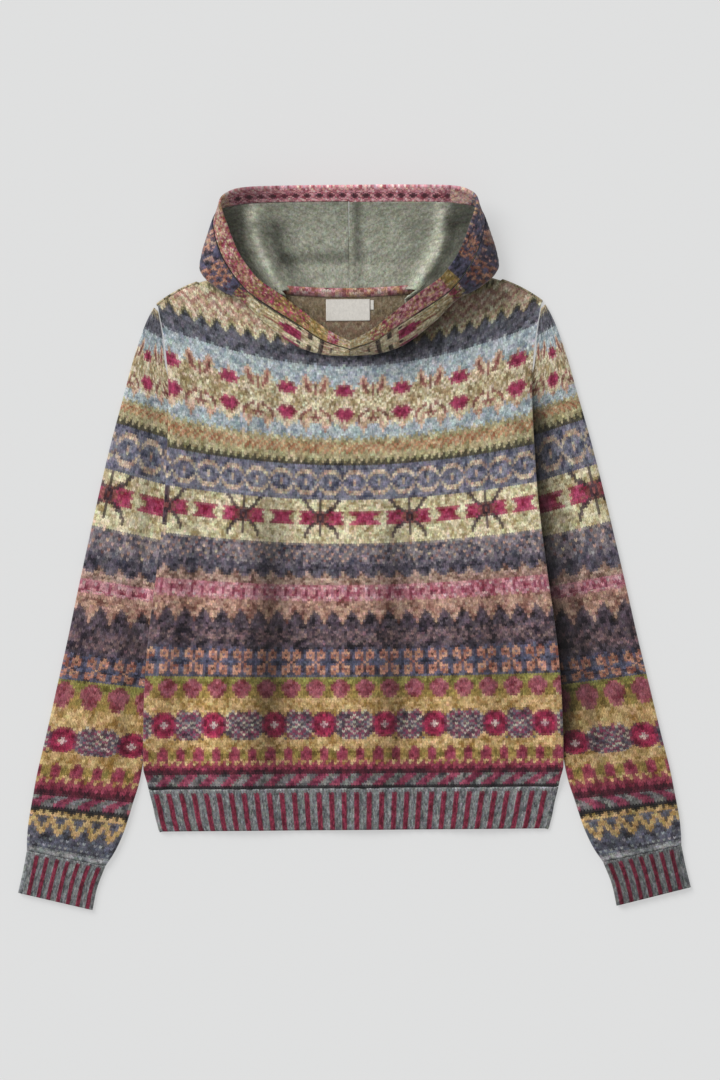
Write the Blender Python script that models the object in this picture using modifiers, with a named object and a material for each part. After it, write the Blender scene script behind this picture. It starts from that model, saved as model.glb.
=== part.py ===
"""A knitted hooded sweater laid flat on a surface, front side up.

X runs to the viewer's right, Y from the hem to the hood, Z up from the surface.
Lengths are in millimetres, and place() turns them into metres. A height is
measured from the hem edge towards the hood, and a half width from the middle line.
Each panel is a sheet shaped from a grid, with its wall grown by Solidify.
"""

import math
from collections import namedtuple

import bpy

MM = 0.001

# ---- driving sizes, in millimetres ----
WALL = 2.4                # knitted panel
HOOD_WALL = 2.2
LINING_WALL = 1.6
GAP = 0.3                 # between pieces at a seam
SEAM_CLEAR = 2 * GAP      # between the hood's wall and the neck edge
CENTRE_CLEAR = 0.24       # half the gap at the hood's centre seam
WELD_REACH = 0.01         # closes a ring where its ends meet
HEM_TO_ORIGIN = 351.4     # the origin lies this far above the hem edge

BODY_THICK_EDGE = 6.6     # front and back together, at the side fold
BODY_LOFT = 1.4           # more than that away from the fold
LOFT_REACH = 60.0
LOFT_TOP_LEAD = 10.0      # at the shoulder it has begun this far out
UNDERARM_LOFT = 1.0       # a little fuller where the side fold starts
UNDERARM_SPREAD = 25.0
UNDERARM_EASE = 0.24      # the two edges part a little there
FOLD_RISE = 1.8           # soft ripples over the lower front
FOLD_PITCH = 145.0
FOLD_AT = 12.0
FOLD_TOP = 343.0
FOLD_FULL = 186.0
FOLD_EDGE = 8.0           # no ripple nearer the side fold than this
EDGE_ROUND = 5.0          # depth of the rounding at a folded edge

HEM_BAND_TOP = 52.0
HEM_BAND_ROWS = (0, 16, 34)
RIB_WALL = 3.2            # through a rib's crest
RIB_CREST = 0.4           # a crest stands this far above the panels' face
RIB_FURROW_SHARE = 0.56   # of RIB_WALL is left in a furrow
RIB_SHAPE = ((0.06, 1.0), (0.44, 1.0), (0.56, RIB_FURROW_SHARE), (0.94, RIB_FURROW_SHARE))
HEM_RIBS = 32
CUFF_RIBS = 7
RIB_INSET = 1.5           # the outermost rib keeps this far from the fold
PLAIN_COLUMNS = 8         # over the flat underside of a ribbed band
CUFF_STEPS = 3

SHOULDER_INNER = 100.4    # half width where the shoulder meets the neck
SHOULDER_HEIGHT = 690.7
SHOULDER_TIP = 238.0
SHOULDER_DROP = 37.2
SHOULDER_BEND = 2.8
Neckline = namedtuple("Neckline", "drop power")
FRONT_NECK = Neckline(90.7, 0.5)      # half an ellipse
BACK_NECK = Neckline(24.8, 1.0)       # a shallow bow
NECK_TURN_LIFT = 22.0     # how the hood swings up from the shoulder's inner end
NECK_TURN_BACK = 3.0
NECK_TURN_ANGLE = 94.0    # degrees round the neck from the front
NECK_TURN_SPREAD = 14.0

SLEEVE_THICK_HIDDEN = 5.7
SLEEVE_THICK = 8.4
SLEEVE_LOFT_FROM = 4.0
SLEEVE_LOFT_TO = 34.0
SLEEVE_ROUND_INNER = 4.0
SLEEVE_ROUND_OUTER = 8.0
SLEEVE_ROUND_SHARES = (0.3, 0.4)      # at most these shares of the sleeve's width
SLEEVE_TOP_FADE = 50.0    # above the underarm the sleeve thins to meet the body
UNDERARM = 580.0          # the side folds start below this height
LIFT = 7.2                # the body's edge lies this high over the sleeve
LIFT_RAMP = 30.0
LIFT_REACH = 2.0          # the rise starts this far outside the sleeve's edge
LIFT_FADE_TOP = (573.0, 591.0)
LIFT_FADE_HEM = (34.0, 76.0)

BAND_WIDTH = 21.0
BAND_NARROW = 0.5         # its share of the width at the point in front
BAND_NARROW_REACH = 0.16
BAND_THICK = 4.1
BAND_GAP = 1.4            # wider at this seam, because the wall bends there
HOOD_REST = 2.35          # the hood wall's middle above the surface
HOOD_CLEAR = 0.4          # and its clearance above the front
ON_SHOULDER_HALF = (78.0, 98.0)       # half widths where the shoulder starts to carry it
OFF_SHOULDER = (3.0, 24.0)            # heights above the shoulder line where it stops
ON_FRONT_ANGLES = (88.0, 96.0)        # the front carries it up to these angles
RIDGE_HIGH = 10.0         # the lining's soft folds at each side
RIDGE_SPREAD = 8.5
RIDGE_START = (676.0, 700.0)
RIDGE_END = (756.0, 778.0)
NECK_RISE = 4.0           # the lining climbs this much to the neck seam
NECK_RISE_HEIGHTS = (672.0, 703.0)
NECK_RISE_HALVES = (60.0, 96.0)

STRIP_WALL = 1.6
STRIP_REACH = 48.0        # degrees round the back of the neck, each way
STRIP_ABOVE = 5.5
STRIP_BELOW = 4.5
STRIP_COLUMNS = 16
LABEL_SIZE = (54.6, 27.0)
LABEL_CENTRE = (-2.0, 645.0)
LABEL_WALL = 1.0
LOOP_SIZE = (4.0, 12.0)
LOOP_CENTRE = (28.0, 651.0)
LOOP_WALL = 1.2
PATCH_COLUMNS = 4
PATCH_ROWS = 2

# ---- short tables ----
Edge = namedtuple("Edge", "height half_width")
BODY_EDGE = [
    Edge(-2, 240.5), Edge(3, 242.6), Edge(17, 246.2), Edge(32, 249.2), Edge(47, 253),
    Edge(62, 256.5), Edge(77, 260.5), Edge(136, 260), Edge(192, 257.5), Edge(248, 252),
    Edge(310, 243.5), Edge(391, 234), Edge(441, 229.5), Edge(541, 225.5),
    Edge(601, 229), Edge(653.5, 238), Edge(700, 247),
]

Row = namedtuple("Row", "out_height out_half in_height in_half")
SLEEVE_ROWS = [
    Row(650.0, 243, 645.0, 237.5), Row(627, 254.5, 614, 232.5), Row(585, 269, 572, 228),
    Row(538, 282, 516, 210), Row(480, 298, 452, 206), Row(419, 313, 392, 209.5),
    Row(360, 326.5, 337, 215), Row(300, 340, 281, 222.5), Row(240, 353, 224, 233),
    Row(180, 367, 165.5, 246), Row(120, 381, 107.5, 257), Row(75, 392, 64, 265),
    Row(47, 397.5, 35, 274), Row(17, 403, 1, 285), Row(-5, 405.5, -24, 296.5),
    Row(-22, 406, -42, 308.5),
]
CUFF_ROWS = [Row(-22.3, 406, -42.3, 308.6), Row(-48, 411, -69, 319), Row(-74.4, 417.3, -96.7, 324.9)]

Spoke = namedtuple("Spoke", "edge_x edge_h edge_z side_x side_h side_z turn neck_angle")
HOOD_SPOKES = [
    Spoke(0, 606, 21, 0, 590, 15.5, 4, 0),
    Spoke(27, 620, 22, 33, 592, 16.5, 5, 22),
    Spoke(62, 647, 25, 66, 603, 17.5, 8, 43),
    Spoke(89, 667, 29, 103, 630, 18.5, 12, 61),
    Spoke(112, 683, 34, 131, 657, 20, 15, 75),
    Spoke(127, 701, 38, 162, 674, 20.5, 16, 84),
    Spoke(137, 717, 41, 182, 693, 21, 16, 91),
    Spoke(144, 733, 43, 181, 714, 21.5, 16, 98),
    Spoke(150, 749, 45, 174, 737, 22, 18, 106),
    Spoke(156, 765, 46, 166, 759, 24, 22, 115),
    Spoke(159, 780, 47, 158, 770, 26, 30, 126),
    Spoke(150, 790, 47.5, 146, 775, 26, 42, 137),
    Spoke(128, 796, 48, 124, 778, 26, 54, 148),
    Spoke(72, 797.5, 48, 70, 780, 26, 66, 164),
    Spoke(0, 797.7, 48, 0, 780, 26, 70, 180),
]

HOOD_STATIONS = 21
HOOD_ROWS = 12
BAND_ROWS = 3
SECTION_STEPS = 16
BACK_STATION = 0.45       # from here on the hood hangs from the back of the neck

Turn = namedtuple("Turn", "open_depth closed_depth share")
EDGE_TURNS = [Turn(0, 0, 0.08), Turn(0.25, 0, 0.5), Turn(0.6, 0.36, 0.875), Turn(1, 1, 1)]

NECK_COLUMN_ANGLES = (0, 14, 29, 45, 62, 78, 90)
COLUMN_CLEAR = 9.0        # between the fold's rounding and the column over the sleeve
OUTER_COLUMNS = len(NECK_COLUMN_ANGLES) + 4 + len(EDGE_TURNS)
ROW_SHARES = (0, 0.05, 0.12, 0.21, 0.3, 0.4, 0.5, 0.6, 0.7, 0.79, 0.872, 0.906, 1)
PANEL_ROWS = len(ROW_SHARES) + len(EDGE_TURNS) - 2
SLEEVE_SPAN = (0.06, 0.22, 0.42, 0.64, 0.86)

Crest = namedtuple("Crest", "height half_width")
LINING_CREST = [
    Crest(673, 85.6), Crest(691, 96), Crest(709, 106.6), Crest(729, 114), Crest(753, 116.5),
]

Finish = namedtuple("Finish", "colour roughness")
FINISHES = {
    "patterned_knit": Finish((0.30, 0.22, 0.20, 1), 0.9),
    "hood_knit": Finish((0.10, 0.11, 0.20, 1), 0.9),
    "rose_knit": Finish((0.45, 0.16, 0.19, 1), 0.9),
    "striped_rib": Finish((0.32, 0.10, 0.16, 1), 0.9),
    "lining_knit": Finish((0.36, 0.39, 0.34, 1), 0.95),
    "woven_label": Finish((0.75, 0.72, 0.68, 1), 0.7),
}


# ---- small helpers ----
def smooth(low, high, value):
    """0 below low, 1 above high, with a soft ramp between."""
    t = min(max((value - low) / (high - low), 0.0), 1.0)
    return t * t * (3 - 2 * t)


def mix(a, b, t):
    return a + (b - a) * t


def spline(values, t):
    """A smooth curve through evenly spaced values; t counts from the first one."""
    last = len(values) - 1
    i = min(max(int(t), 0), last - 1)
    f = t - i
    before = values[max(i - 1, 0)]
    after = values[min(i + 2, last)]
    slope_a = (values[i + 1] - before) / 2
    slope_b = (after - values[i]) / 2
    return (values[i] * (2 * f**3 - 3 * f**2 + 1) + slope_a * (f**3 - 2 * f**2 + f)
            + values[i + 1] * (3 * f**2 - 2 * f**3) + slope_b * (f**3 - f**2))


def curve_through(knots, steps):
    """Points of one smooth curve through unevenly spaced knots, steps to a span."""
    ways = [[(q - p) / math.dist(a, b) for p, q in zip(a, b)] for a, b in zip(knots, knots[1:])]
    slopes = [ways[0]] + [[(p + q) / 2 for p, q in zip(a, b)] for a, b in zip(ways, ways[1:])] + [ways[-1]]
    points = []
    for i in range(len(knots) - 1):
        span = math.dist(knots[i], knots[i + 1])
        for step in range(steps + 1 if i == len(knots) - 2 else steps):
            f = step / steps
            points.append(tuple(
                a * (2 * f**3 - 3 * f**2 + 1) + m * span * (f**3 - 2 * f**2 + f)
                + b * (3 * f**2 - 2 * f**3) + n * span * (f**3 - f**2)
                for a, b, m, n in zip(knots[i], knots[i + 1], slopes[i], slopes[i + 1])))
    return points


def read(rows, key, column, value):
    """Read a table's column at a value of its key, on a smooth curve."""
    keys = [getattr(row, key) for row in rows]
    column_values = [getattr(row, column) for row in rows]
    if keys[0] > keys[-1]:
        keys, column_values = keys[::-1], column_values[::-1]
    value = min(max(value, keys[0]), keys[-1])
    i = max(k for k in range(len(keys) - 1) if keys[k] <= value)
    return spline(column_values, i + (value - keys[i]) / (keys[i + 1] - keys[i]))


def place(x, height, z):
    return (x * MM, (height - HEM_TO_ORIGIN) * MM, z * MM)


# ---- the body's form ----
def body_half_width(height):
    return read(BODY_EDGE, "height", "half_width", height)


def shoulder_height(x):
    reach = max(abs(x) - SHOULDER_INNER, 0) / (SHOULDER_TIP - SHOULDER_INNER)
    return SHOULDER_HEIGHT - SHOULDER_DROP * reach**SHOULDER_BEND


def top_height(x, neckline):
    """The panel's upper edge: the neckline in the middle, then the shoulder."""
    if abs(x) < SHOULDER_INNER:
        return SHOULDER_HEIGHT - neckline.drop * (1 - (x / SHOULDER_INNER)**2)**neckline.power
    return shoulder_height(x)


def sleeve_inner_half(height):
    """Where the sleeve's inner edge lies, mostly hidden under the body."""
    return read(SLEEVE_ROWS, "in_height", "in_half", height)


def lift_at_edge(height):
    """How high the body's side edge rides over the sleeve under it."""
    under = min(max(body_half_width(height) - sleeve_inner_half(height), 0) + LIFT_REACH, LIFT)
    rise = math.sqrt(LIFT**2 - (LIFT - under)**2)
    return rise * (1 - smooth(*LIFT_FADE_TOP, height)) * smooth(*LIFT_FADE_HEM, height)


def body_bottom(x, height):
    inner = min(sleeve_inner_half(height), body_half_width(height))
    return lift_at_edge(height) * smooth(inner - LIFT_RAMP, inner - 1, abs(x))


def body_thick(x, height):
    from_side = body_half_width(height) - abs(x)
    from_top = shoulder_height(x) - height
    loft = BODY_LOFT * smooth(0, LOFT_REACH, min(from_side, from_top + LOFT_TOP_LEAD))
    loft += UNDERARM_LOFT * math.exp(-((height - UNDERARM) / UNDERARM_SPREAD)**2)
    ripple = math.cos(2 * math.pi * (x - FOLD_AT) / FOLD_PITCH)
    fade = 1 - smooth(FOLD_FULL, FOLD_TOP, height)
    fade *= smooth(FOLD_EDGE, LOFT_REACH, from_side)
    return BODY_THICK_EDGE + loft + FOLD_RISE * ripple * fade


def body_top(x, height):
    return body_bottom(x, height) + body_thick(x, height)


# ---- sections: how a wall runs round a folded edge ----
def edge_turn(index, rounding, closed):
    """Depth from the edge and share of the half thickness at one turn of the edge."""
    turn = EDGE_TURNS[min(index, len(EDGE_TURNS) - 1)]
    depth = mix(turn.open_depth, turn.closed_depth, closed) * rounding
    return depth, mix(1.0, turn.share, closed)


def side_closed(height):
    return 1.0 if height < UNDERARM else 0.0


def column_x(column, height):
    """Columns from the middle (0) to the side edge (1), and the edge's share there."""
    half = body_half_width(height)
    inner = min(sleeve_inner_half(height), half - EDGE_ROUND - COLUMN_CLEAR)
    turns = len(EDGE_TURNS)
    if column >= OUTER_COLUMNS - turns:
        depth, share = edge_turn(OUTER_COLUMNS - 1 - column, EDGE_ROUND, side_closed(height))
        ease = UNDERARM_EASE if abs(height - UNDERARM) < UNDERARM_SPREAD else 0
        return half - depth, min(share + ease * (1 - share), 1)
    stops = ([SHOULDER_INNER * math.sin(math.radians(a)) for a in NECK_COLUMN_ANGLES]
             + [mix(SHOULDER_INNER, inner - LIFT_RAMP, 0.5), inner - LIFT_RAMP,
                inner - LIFT_RAMP / 2, inner])
    return stops[column], 1.0


def panel_point(side, neckline, column, row):
    """A point of the front (side 1) or back (side -1), column from the middle out."""
    sign = -1 if column < 0 else 1
    column = abs(column)
    turns = len(EDGE_TURNS)
    from_top = PANEL_ROWS - row
    bottom = HEM_BAND_TOP + GAP / 2
    share_top = 1.0
    height = bottom
    x, share_side = column_x(column, height)
    for _ in range(4):
        top = top_height(x, neckline) - GAP / 2
        closed = 1.0 if x > SHOULDER_INNER - 1 else 0.0
        if from_top < turns:
            depth, share_top = edge_turn(from_top, EDGE_ROUND, closed)
            height = top - depth
        else:
            height = mix(bottom, top - EDGE_ROUND, ROW_SHARES[row])
        x, share_side = column_x(column, height)
    low = body_bottom(x, height)
    thick = body_thick(x, height)
    if side < 0:
        thick = max(thick, BODY_THICK_EDGE)
    return sign * x, height, low + thick * (0.5 + 0.5 * side * share_side * share_top)


# ---- the sleeve's form ----
def row_value(rows, t, column):
    return spline([getattr(row, column) for row in rows], t * (len(rows) - 1))


def sleeve_point(rows, t, step):
    """A point of the right sleeve's ring at t down its length; step runs from the
    inner edge along the underside, round the outer edge and back over the top."""
    turns = len(EDGE_TURNS)
    half_steps = 2 * turns + len(SLEEVE_SPAN)
    upper = step >= half_steps
    k = 2 * half_steps - 1 - step if upper else step
    inner = (row_value(rows, t, "in_half"), row_value(rows, t, "in_height"))
    outer = (row_value(rows, t, "out_half"), row_value(rows, t, "out_height"))
    width = math.dist(inner, outer)
    round_in = min(SLEEVE_ROUND_INNER, width * SLEEVE_ROUND_SHARES[0])
    round_out = min(SLEEVE_ROUND_OUTER, width * SLEEVE_ROUND_SHARES[1])
    share = 1.0
    if k < turns:
        d, share = edge_turn(k, round_in, side_closed(inner[1]))
    elif k >= half_steps - turns:
        depth, share = edge_turn(half_steps - 1 - k, round_out, 1.0)
        d = width - depth
    else:
        d = mix(round_in, width - round_out, SLEEVE_SPAN[k - turns])
    x = mix(inner[0], outer[0], d / width)
    height = mix(inner[1], outer[1], d / width)
    under = body_half_width(max(inner[1], 0)) - inner[0]
    loft = smooth(under + SLEEVE_LOFT_FROM, under + SLEEVE_LOFT_TO, d)
    thick = mix(SLEEVE_THICK_HIDDEN, SLEEVE_THICK, loft)
    thick = mix(thick, BODY_THICK_EDGE, smooth(UNDERARM, UNDERARM + SLEEVE_TOP_FADE, inner[1]))
    side = 1 if upper else -1
    return x, height, thick * (0.5 + 0.5 * side * share)


# ---- the hood's form ----
def hood_floor(x, height, neck_angle):
    """The lowest the hood wall's middle may lie: on the surface, or on the body."""
    on_shoulder = smooth(*ON_SHOULDER_HALF, x)
    on_shoulder *= 1 - smooth(*OFF_SHOULDER, height - shoulder_height(x))
    over = max(1 - smooth(*ON_FRONT_ANGLES, neck_angle), on_shoulder)
    return HOOD_REST + over * (body_top(x, height) + HOOD_CLEAR)


def hood_section(station):
    """The hood wall's middle line at one spoke, from the free edge to the neck seam."""
    last = len(HOOD_SPOKES) - 1
    spoke = Spoke(*(spline([s[i] for s in HOOD_SPOKES], station * last)
                    for i in range(len(Spoke._fields))))
    neckline = FRONT_NECK if spoke.neck_angle < 90 else BACK_NECK
    near_shoulder = math.exp(-((spoke.neck_angle - NECK_TURN_ANGLE) / NECK_TURN_SPREAD)**2)
    neck_x = SHOULDER_INNER * math.sin(math.radians(spoke.neck_angle))
    neck_h = top_height(min(neck_x, SHOULDER_INNER), neckline) + SEAM_CLEAR
    neck_x += NECK_TURN_BACK * near_shoulder
    edge = (spoke.edge_x, spoke.edge_h, spoke.edge_z)
    side = (spoke.side_x, spoke.side_h, spoke.side_z)
    aim_h = neck_h + NECK_TURN_LIFT * near_shoulder
    k = spoke.turn / math.dist((spoke.side_x, spoke.side_h), (neck_x, aim_h))
    turn_x = mix(spoke.side_x, neck_x, k)
    turn_h = mix(spoke.side_h, aim_h, k)
    turn = (turn_x, turn_h, hood_floor(turn_x, turn_h, spoke.neck_angle))
    neck = (neck_x, neck_h, hood_floor(neck_x, neck_h, spoke.neck_angle))
    points = curve_through([edge, side, turn, neck], SECTION_STEPS)
    return [(x, height, max(z, hood_floor(x, height, spoke.neck_angle)) if i > SECTION_STEPS else z)
            for i, (x, height, z) in enumerate(points)]


def along(points, distance):
    """The point at a distance along a line of points."""
    for a, b in zip(points, points[1:]):
        step = math.dist(a, b)
        if distance <= step:
            return tuple(mix(p, q, distance / step) for p, q in zip(a, b))
        distance -= step
    return points[-1]


def length_of(points):
    return sum(math.dist(a, b) for a, b in zip(points, points[1:]))


def band_width(station):
    return BAND_WIDTH * mix(BAND_NARROW, 1.0, smooth(0, BAND_NARROW_REACH, station))


def hood_point(station, share):
    """The hood wall's middle, from the band's seam (0) to the neck seam (1)."""
    points = hood_section(station)
    start = band_width(station) + BAND_GAP / 2
    x, height, z = along(points, mix(start, length_of(points), share))
    return max(x, CENTRE_CLEAR), height, z


def lining_point(station, share):
    """The same middle, with the lining's own soft folds over the hood's back."""
    x, height, z = hood_point(station, share)
    if station > BACK_STATION:
        z += lining_rise(x, height)
    return x, height, z


def band_point(station, share):
    """The edge band's middle, from the free edge (0) to its seam (1)."""
    end = band_width(station) - BAND_GAP / 2
    x, height, z = along(hood_section(station), end * share)
    return max(x, 0), height, z


def lining_rise(x, height):
    """The lining's soft side folds, and its climb to the neck seam."""
    x = abs(x)
    crest = read(LINING_CREST, "height", "half_width", height)
    fold = RIDGE_HIGH * math.exp(-((x - crest) / RIDGE_SPREAD)**2)
    fold *= smooth(*RIDGE_START, height) * (1 - smooth(*RIDGE_END, height))
    climb = (1 - smooth(*NECK_RISE_HEIGHTS, height)) * (1 - smooth(*NECK_RISE_HALVES, x))
    return fold + NECK_RISE * climb


def lining_face(x, height):
    """The lining's upper face where it lies on the hood's back."""
    return HOOD_REST + GAP / 2 + LINING_WALL + 3 * GAP + lining_rise(x, height)


# ---- ribbed bands: a plain inner ring, with ribs grown outwards ----
def ring_columns(ribs):
    """One entry for each column round a band: side, share across, share of RIB_WALL."""
    plain = WALL / RIB_WALL
    under = [("under", i / PLAIN_COLUMNS, plain) for i in range(PLAIN_COLUMNS + 1)]
    over = [("over", (rib + share) / ribs, weight) for rib in range(ribs) for share, weight in RIB_SHAPE]
    over = [("over", 0.0, plain)] + over + [("over", 1.0, plain)]
    return under + [("outer", 1.0, plain)] + over[::-1] + [("inner", 0.0, plain)] + under[:1]


def hem_ring_point(side, share, height):
    half = body_half_width(height)
    if side in ("outer", "inner"):
        x = (half - WALL) * (1 if side == "outer" else -1)
        return x, height, body_bottom(x, height) + body_thick(x, height) / 2
    x = mix(-1, 1, share) * (half - WALL - RIB_INSET)
    if side == "under":
        return x, height, body_bottom(x, height) + WALL
    return x, height, body_top(x, height) - RIB_WALL + RIB_CREST


def cuff_ring_point(side, share, t):
    inner = (row_value(CUFF_ROWS, t, "in_half"), row_value(CUFF_ROWS, t, "in_height"))
    outer = (row_value(CUFF_ROWS, t, "out_half"), row_value(CUFF_ROWS, t, "out_height"))
    inset = WALL / math.dist(inner, outer)
    if side in ("under", "over"):
        inset = (WALL + RIB_INSET) / math.dist(inner, outer)
    across = mix(inset, 1 - inset, share)
    z = {"under": WALL, "over": SLEEVE_THICK - RIB_WALL + RIB_CREST}.get(side, SLEEVE_THICK / 2)
    return mix(inner[0], outer[0], across), mix(inner[1], outer[1], across), z


# ---- building ----
def clear_scene():
    for thing in list(bpy.data.objects):
        bpy.data.objects.remove(thing, do_unlink=True)


def finish_material(name):
    material = bpy.data.materials.get(name)
    if material is None:
        finish = FINISHES[name]
        material = bpy.data.materials.new(name)
        material.use_nodes = True
        shader = material.node_tree.nodes["Principled BSDF"]
        shader.inputs["Base Color"].default_value = finish.colour
        shader.inputs["Roughness"].default_value = finish.roughness
        shader.inputs["Metallic"].default_value = 0.0
    return material


def sheet(name, columns, rows, point, material, wall, offset=-1.0, flip=False,
          shares=None, diagonal=None):
    """A grid of columns by rows faces, each vertex put by point(column, row).
    shares closes the grid to a ring and gives each column's share of the wall,
    and diagonal names the way each face is cut in two."""
    bpy.ops.mesh.primitive_grid_add(x_subdivisions=columns, y_subdivisions=rows, size=2)
    piece = bpy.context.object
    piece.name = name
    piece.data.name = name
    group = piece.vertex_groups.new(name="wall share") if shares else None
    for vertex in piece.data.vertices:
        column = round((vertex.co.x + 1) / 2 * columns)
        column = columns - column if flip else column
        row = round((vertex.co.y + 1) / 2 * rows)
        vertex.co = place(*point(column, row))
        if shares:
            group.add([vertex.index], shares[column], "REPLACE")
    if shares:
        weld = piece.modifiers.new("Close ring", "WELD")
        weld.merge_threshold = WELD_REACH * MM
    if diagonal:
        cut = piece.modifiers.new("Cut faces", "TRIANGULATE")
        cut.quad_method = diagonal
    solid = piece.modifiers.new("Wall", "SOLIDIFY")
    solid.thickness = wall * MM
    solid.offset = offset
    if shares:
        solid.vertex_group = group.name
    piece.data.materials.append(finish_material(material))
    for polygon in piece.data.polygons:
        polygon.use_smooth = True
    for collection in list(piece.users_collection):
        collection.objects.unlink(piece)
    GARMENT.objects.link(piece)
    return piece


def make_panel(name, side, neckline):
    half = OUTER_COLUMNS - 1

    def point(column, row):
        return panel_point(side, neckline, column - half, row)

    sheet(name, 2 * half, PANEL_ROWS, point, "patterned_knit", WALL, flip=side < 0)


def make_sleeve(name, sign):
    steps = 2 * (2 * len(EDGE_TURNS) + len(SLEEVE_SPAN)) - 1
    rows = len(SLEEVE_ROWS) - 1

    def point(column, row):
        x, height, z = sleeve_point(SLEEVE_ROWS, 1 - row / rows, column)
        return sign * x, height, z

    sheet(name, steps, rows, point, "patterned_knit", WALL, flip=sign > 0)


def make_hood_half(name, sign, lining):
    if lining:
        wall, offset, material = LINING_WALL, -1 - GAP / LINING_WALL, "lining_knit"
    else:
        wall, offset, material = HOOD_WALL, 1 + GAP / HOOD_WALL, "hood_knit"

    def point(column, row):
        wall_point = lining_point if lining else hood_point
        x, height, z = wall_point(column / HOOD_STATIONS, row / HOOD_ROWS)
        return sign * x, height, z

    sheet(name, HOOD_STATIONS, HOOD_ROWS, point, material, wall, offset=offset, flip=sign > 0,
          diagonal="FIXED" if sign > 0 else "FIXED_ALTERNATE")


def make_edge_band():
    def point(column, row):
        way = column / HOOD_STATIONS - 1
        x, height, z = band_point(1 - abs(way), row / BAND_ROWS)
        return (x if way > 0 else -x), height, z

    sheet("hood_edge_band", 2 * HOOD_STATIONS, BAND_ROWS, point, "rose_knit", BAND_THICK, offset=0.0)


def make_ribbed_band(name, ribs, rows, ring_point, flip=True):
    ring = ring_columns(ribs)

    def point(column, row):
        side, share, _ = ring[column]
        return ring_point(side, share, row)

    sheet(name, len(ring) - 1, rows, point, "striped_rib", RIB_WALL, offset=1.0,
          flip=flip, shares=[wall_share for _, _, wall_share in ring])


def make_hem_band():
    heights = HEM_BAND_ROWS + (HEM_BAND_TOP - GAP / 2,)

    def ring_point(side, share, row):
        return hem_ring_point(side, share, heights[row])

    make_ribbed_band("hem_band", HEM_RIBS, len(heights) - 1, ring_point)


def make_cuff(name, sign):
    def ring_point(side, share, row):
        x, height, z = cuff_ring_point(side, share, 1 - row / CUFF_STEPS)
        return sign * x, height, z

    make_ribbed_band(name, CUFF_RIBS, CUFF_STEPS, ring_point, flip=sign > 0)


def make_seam_strip():
    def point(column, row):
        angle = math.radians(mix(-STRIP_REACH, STRIP_REACH, column / STRIP_COLUMNS))
        x = SHOULDER_INNER * math.sin(angle)
        neck = top_height(x, BACK_NECK) + SEAM_CLEAR
        height, z = ((neck - STRIP_BELOW, WALL + GAP),
                     (neck, lining_face(x, neck)),
                     (neck + STRIP_ABOVE, lining_face(x, neck + STRIP_ABOVE)))[row]
        return x, height, z

    sheet("neck_seam_strip", STRIP_COLUMNS, 2, point, "rose_knit", STRIP_WALL, offset=1.0)


def make_patch(name, size, centre, wall):
    """A small flat piece lying on the inside of the back."""
    def point(column, row):
        return (centre[0] + (column / PATCH_COLUMNS - 0.5) * size[0],
                centre[1] + (row / PATCH_ROWS - 0.5) * size[1], WALL + GAP)

    sheet(name, PATCH_COLUMNS, PATCH_ROWS, point, "woven_label", wall, offset=1.0)


clear_scene()
GARMENT = bpy.data.collections.new("knitted_hoodie")
bpy.context.scene.collection.children.link(GARMENT)

make_panel("front", 1, FRONT_NECK)
make_panel("back", -1, BACK_NECK)
for word, way in (("left", -1), ("right", 1)):
    make_sleeve(word + "_sleeve", way)
    make_hood_half("hood_" + word, way, lining=False)
    make_hood_half("hood_lining_" + word, way, lining=True)
    make_cuff(word + "_cuff", way)
make_edge_band()
make_hem_band()
make_seam_strip()
make_patch("neck_label", LABEL_SIZE, LABEL_CENTRE, LABEL_WALL)
make_patch("size_loop", LOOP_SIZE, LOOP_CENTRE, LOOP_WALL)
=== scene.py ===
"""The looks of a hooded sweater knitted in Fair Isle bands, laid flat.

Lengths are in millimetres until place() turns them into metres. A height is measured
from the hem edge towards the hood. Every knitted panel is a grid with one face to a
stitch, and its pattern is charted row by row, in the yarns named below.
"""

import math
from collections import namedtuple

import bmesh
import bpy
import numpy as np
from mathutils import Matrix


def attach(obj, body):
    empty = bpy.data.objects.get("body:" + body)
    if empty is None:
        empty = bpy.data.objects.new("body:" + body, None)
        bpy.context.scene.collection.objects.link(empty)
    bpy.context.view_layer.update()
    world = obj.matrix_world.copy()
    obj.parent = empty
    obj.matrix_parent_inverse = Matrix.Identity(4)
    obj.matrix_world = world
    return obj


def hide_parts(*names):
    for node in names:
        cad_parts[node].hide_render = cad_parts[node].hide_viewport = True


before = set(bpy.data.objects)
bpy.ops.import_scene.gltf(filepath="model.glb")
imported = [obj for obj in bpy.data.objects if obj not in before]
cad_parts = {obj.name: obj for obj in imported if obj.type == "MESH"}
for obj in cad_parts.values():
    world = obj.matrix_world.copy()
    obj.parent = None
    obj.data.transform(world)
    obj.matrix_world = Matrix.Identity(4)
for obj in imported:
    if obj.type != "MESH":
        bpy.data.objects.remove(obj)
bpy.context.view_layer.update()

MM = 0.001
chance = np.random.default_rng(7)

# ---- sizes that the solids have too ----
WALL = 2.4
HOOD_WALL = 2.2
LINING_WALL = 1.6
GAP = 0.3
SEAM_CLEAR = 2 * GAP
CENTRE_CLEAR = 0.24
HEM_TO_ORIGIN = 351.4
BODY_THICK_EDGE = 6.6
BODY_LOFT = 1.4
LOFT_REACH = 60.0
LOFT_TOP_LEAD = 10.0
UNDERARM_LOFT = 1.0
UNDERARM_SPREAD = 25.0
FOLD_RISE = 1.8
FOLD_PITCH = 145.0
FOLD_AT = 12.0
FOLD_TOP = 343.0
FOLD_FULL = 186.0
FOLD_EDGE = 8.0
EDGE_ROUND = 5.0
HEM_BAND_TOP = 52.0
RIB_WALL = 3.2
RIB_CREST = 0.4
RIB_FURROW_SHARE = 0.56
HEM_RIBS = 32
CUFF_RIBS = 7
RIB_INSET = 1.5
SHOULDER_INNER = 100.4
SHOULDER_HEIGHT = 690.7
SHOULDER_TIP = 238.0
SHOULDER_DROP = 37.2
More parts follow.
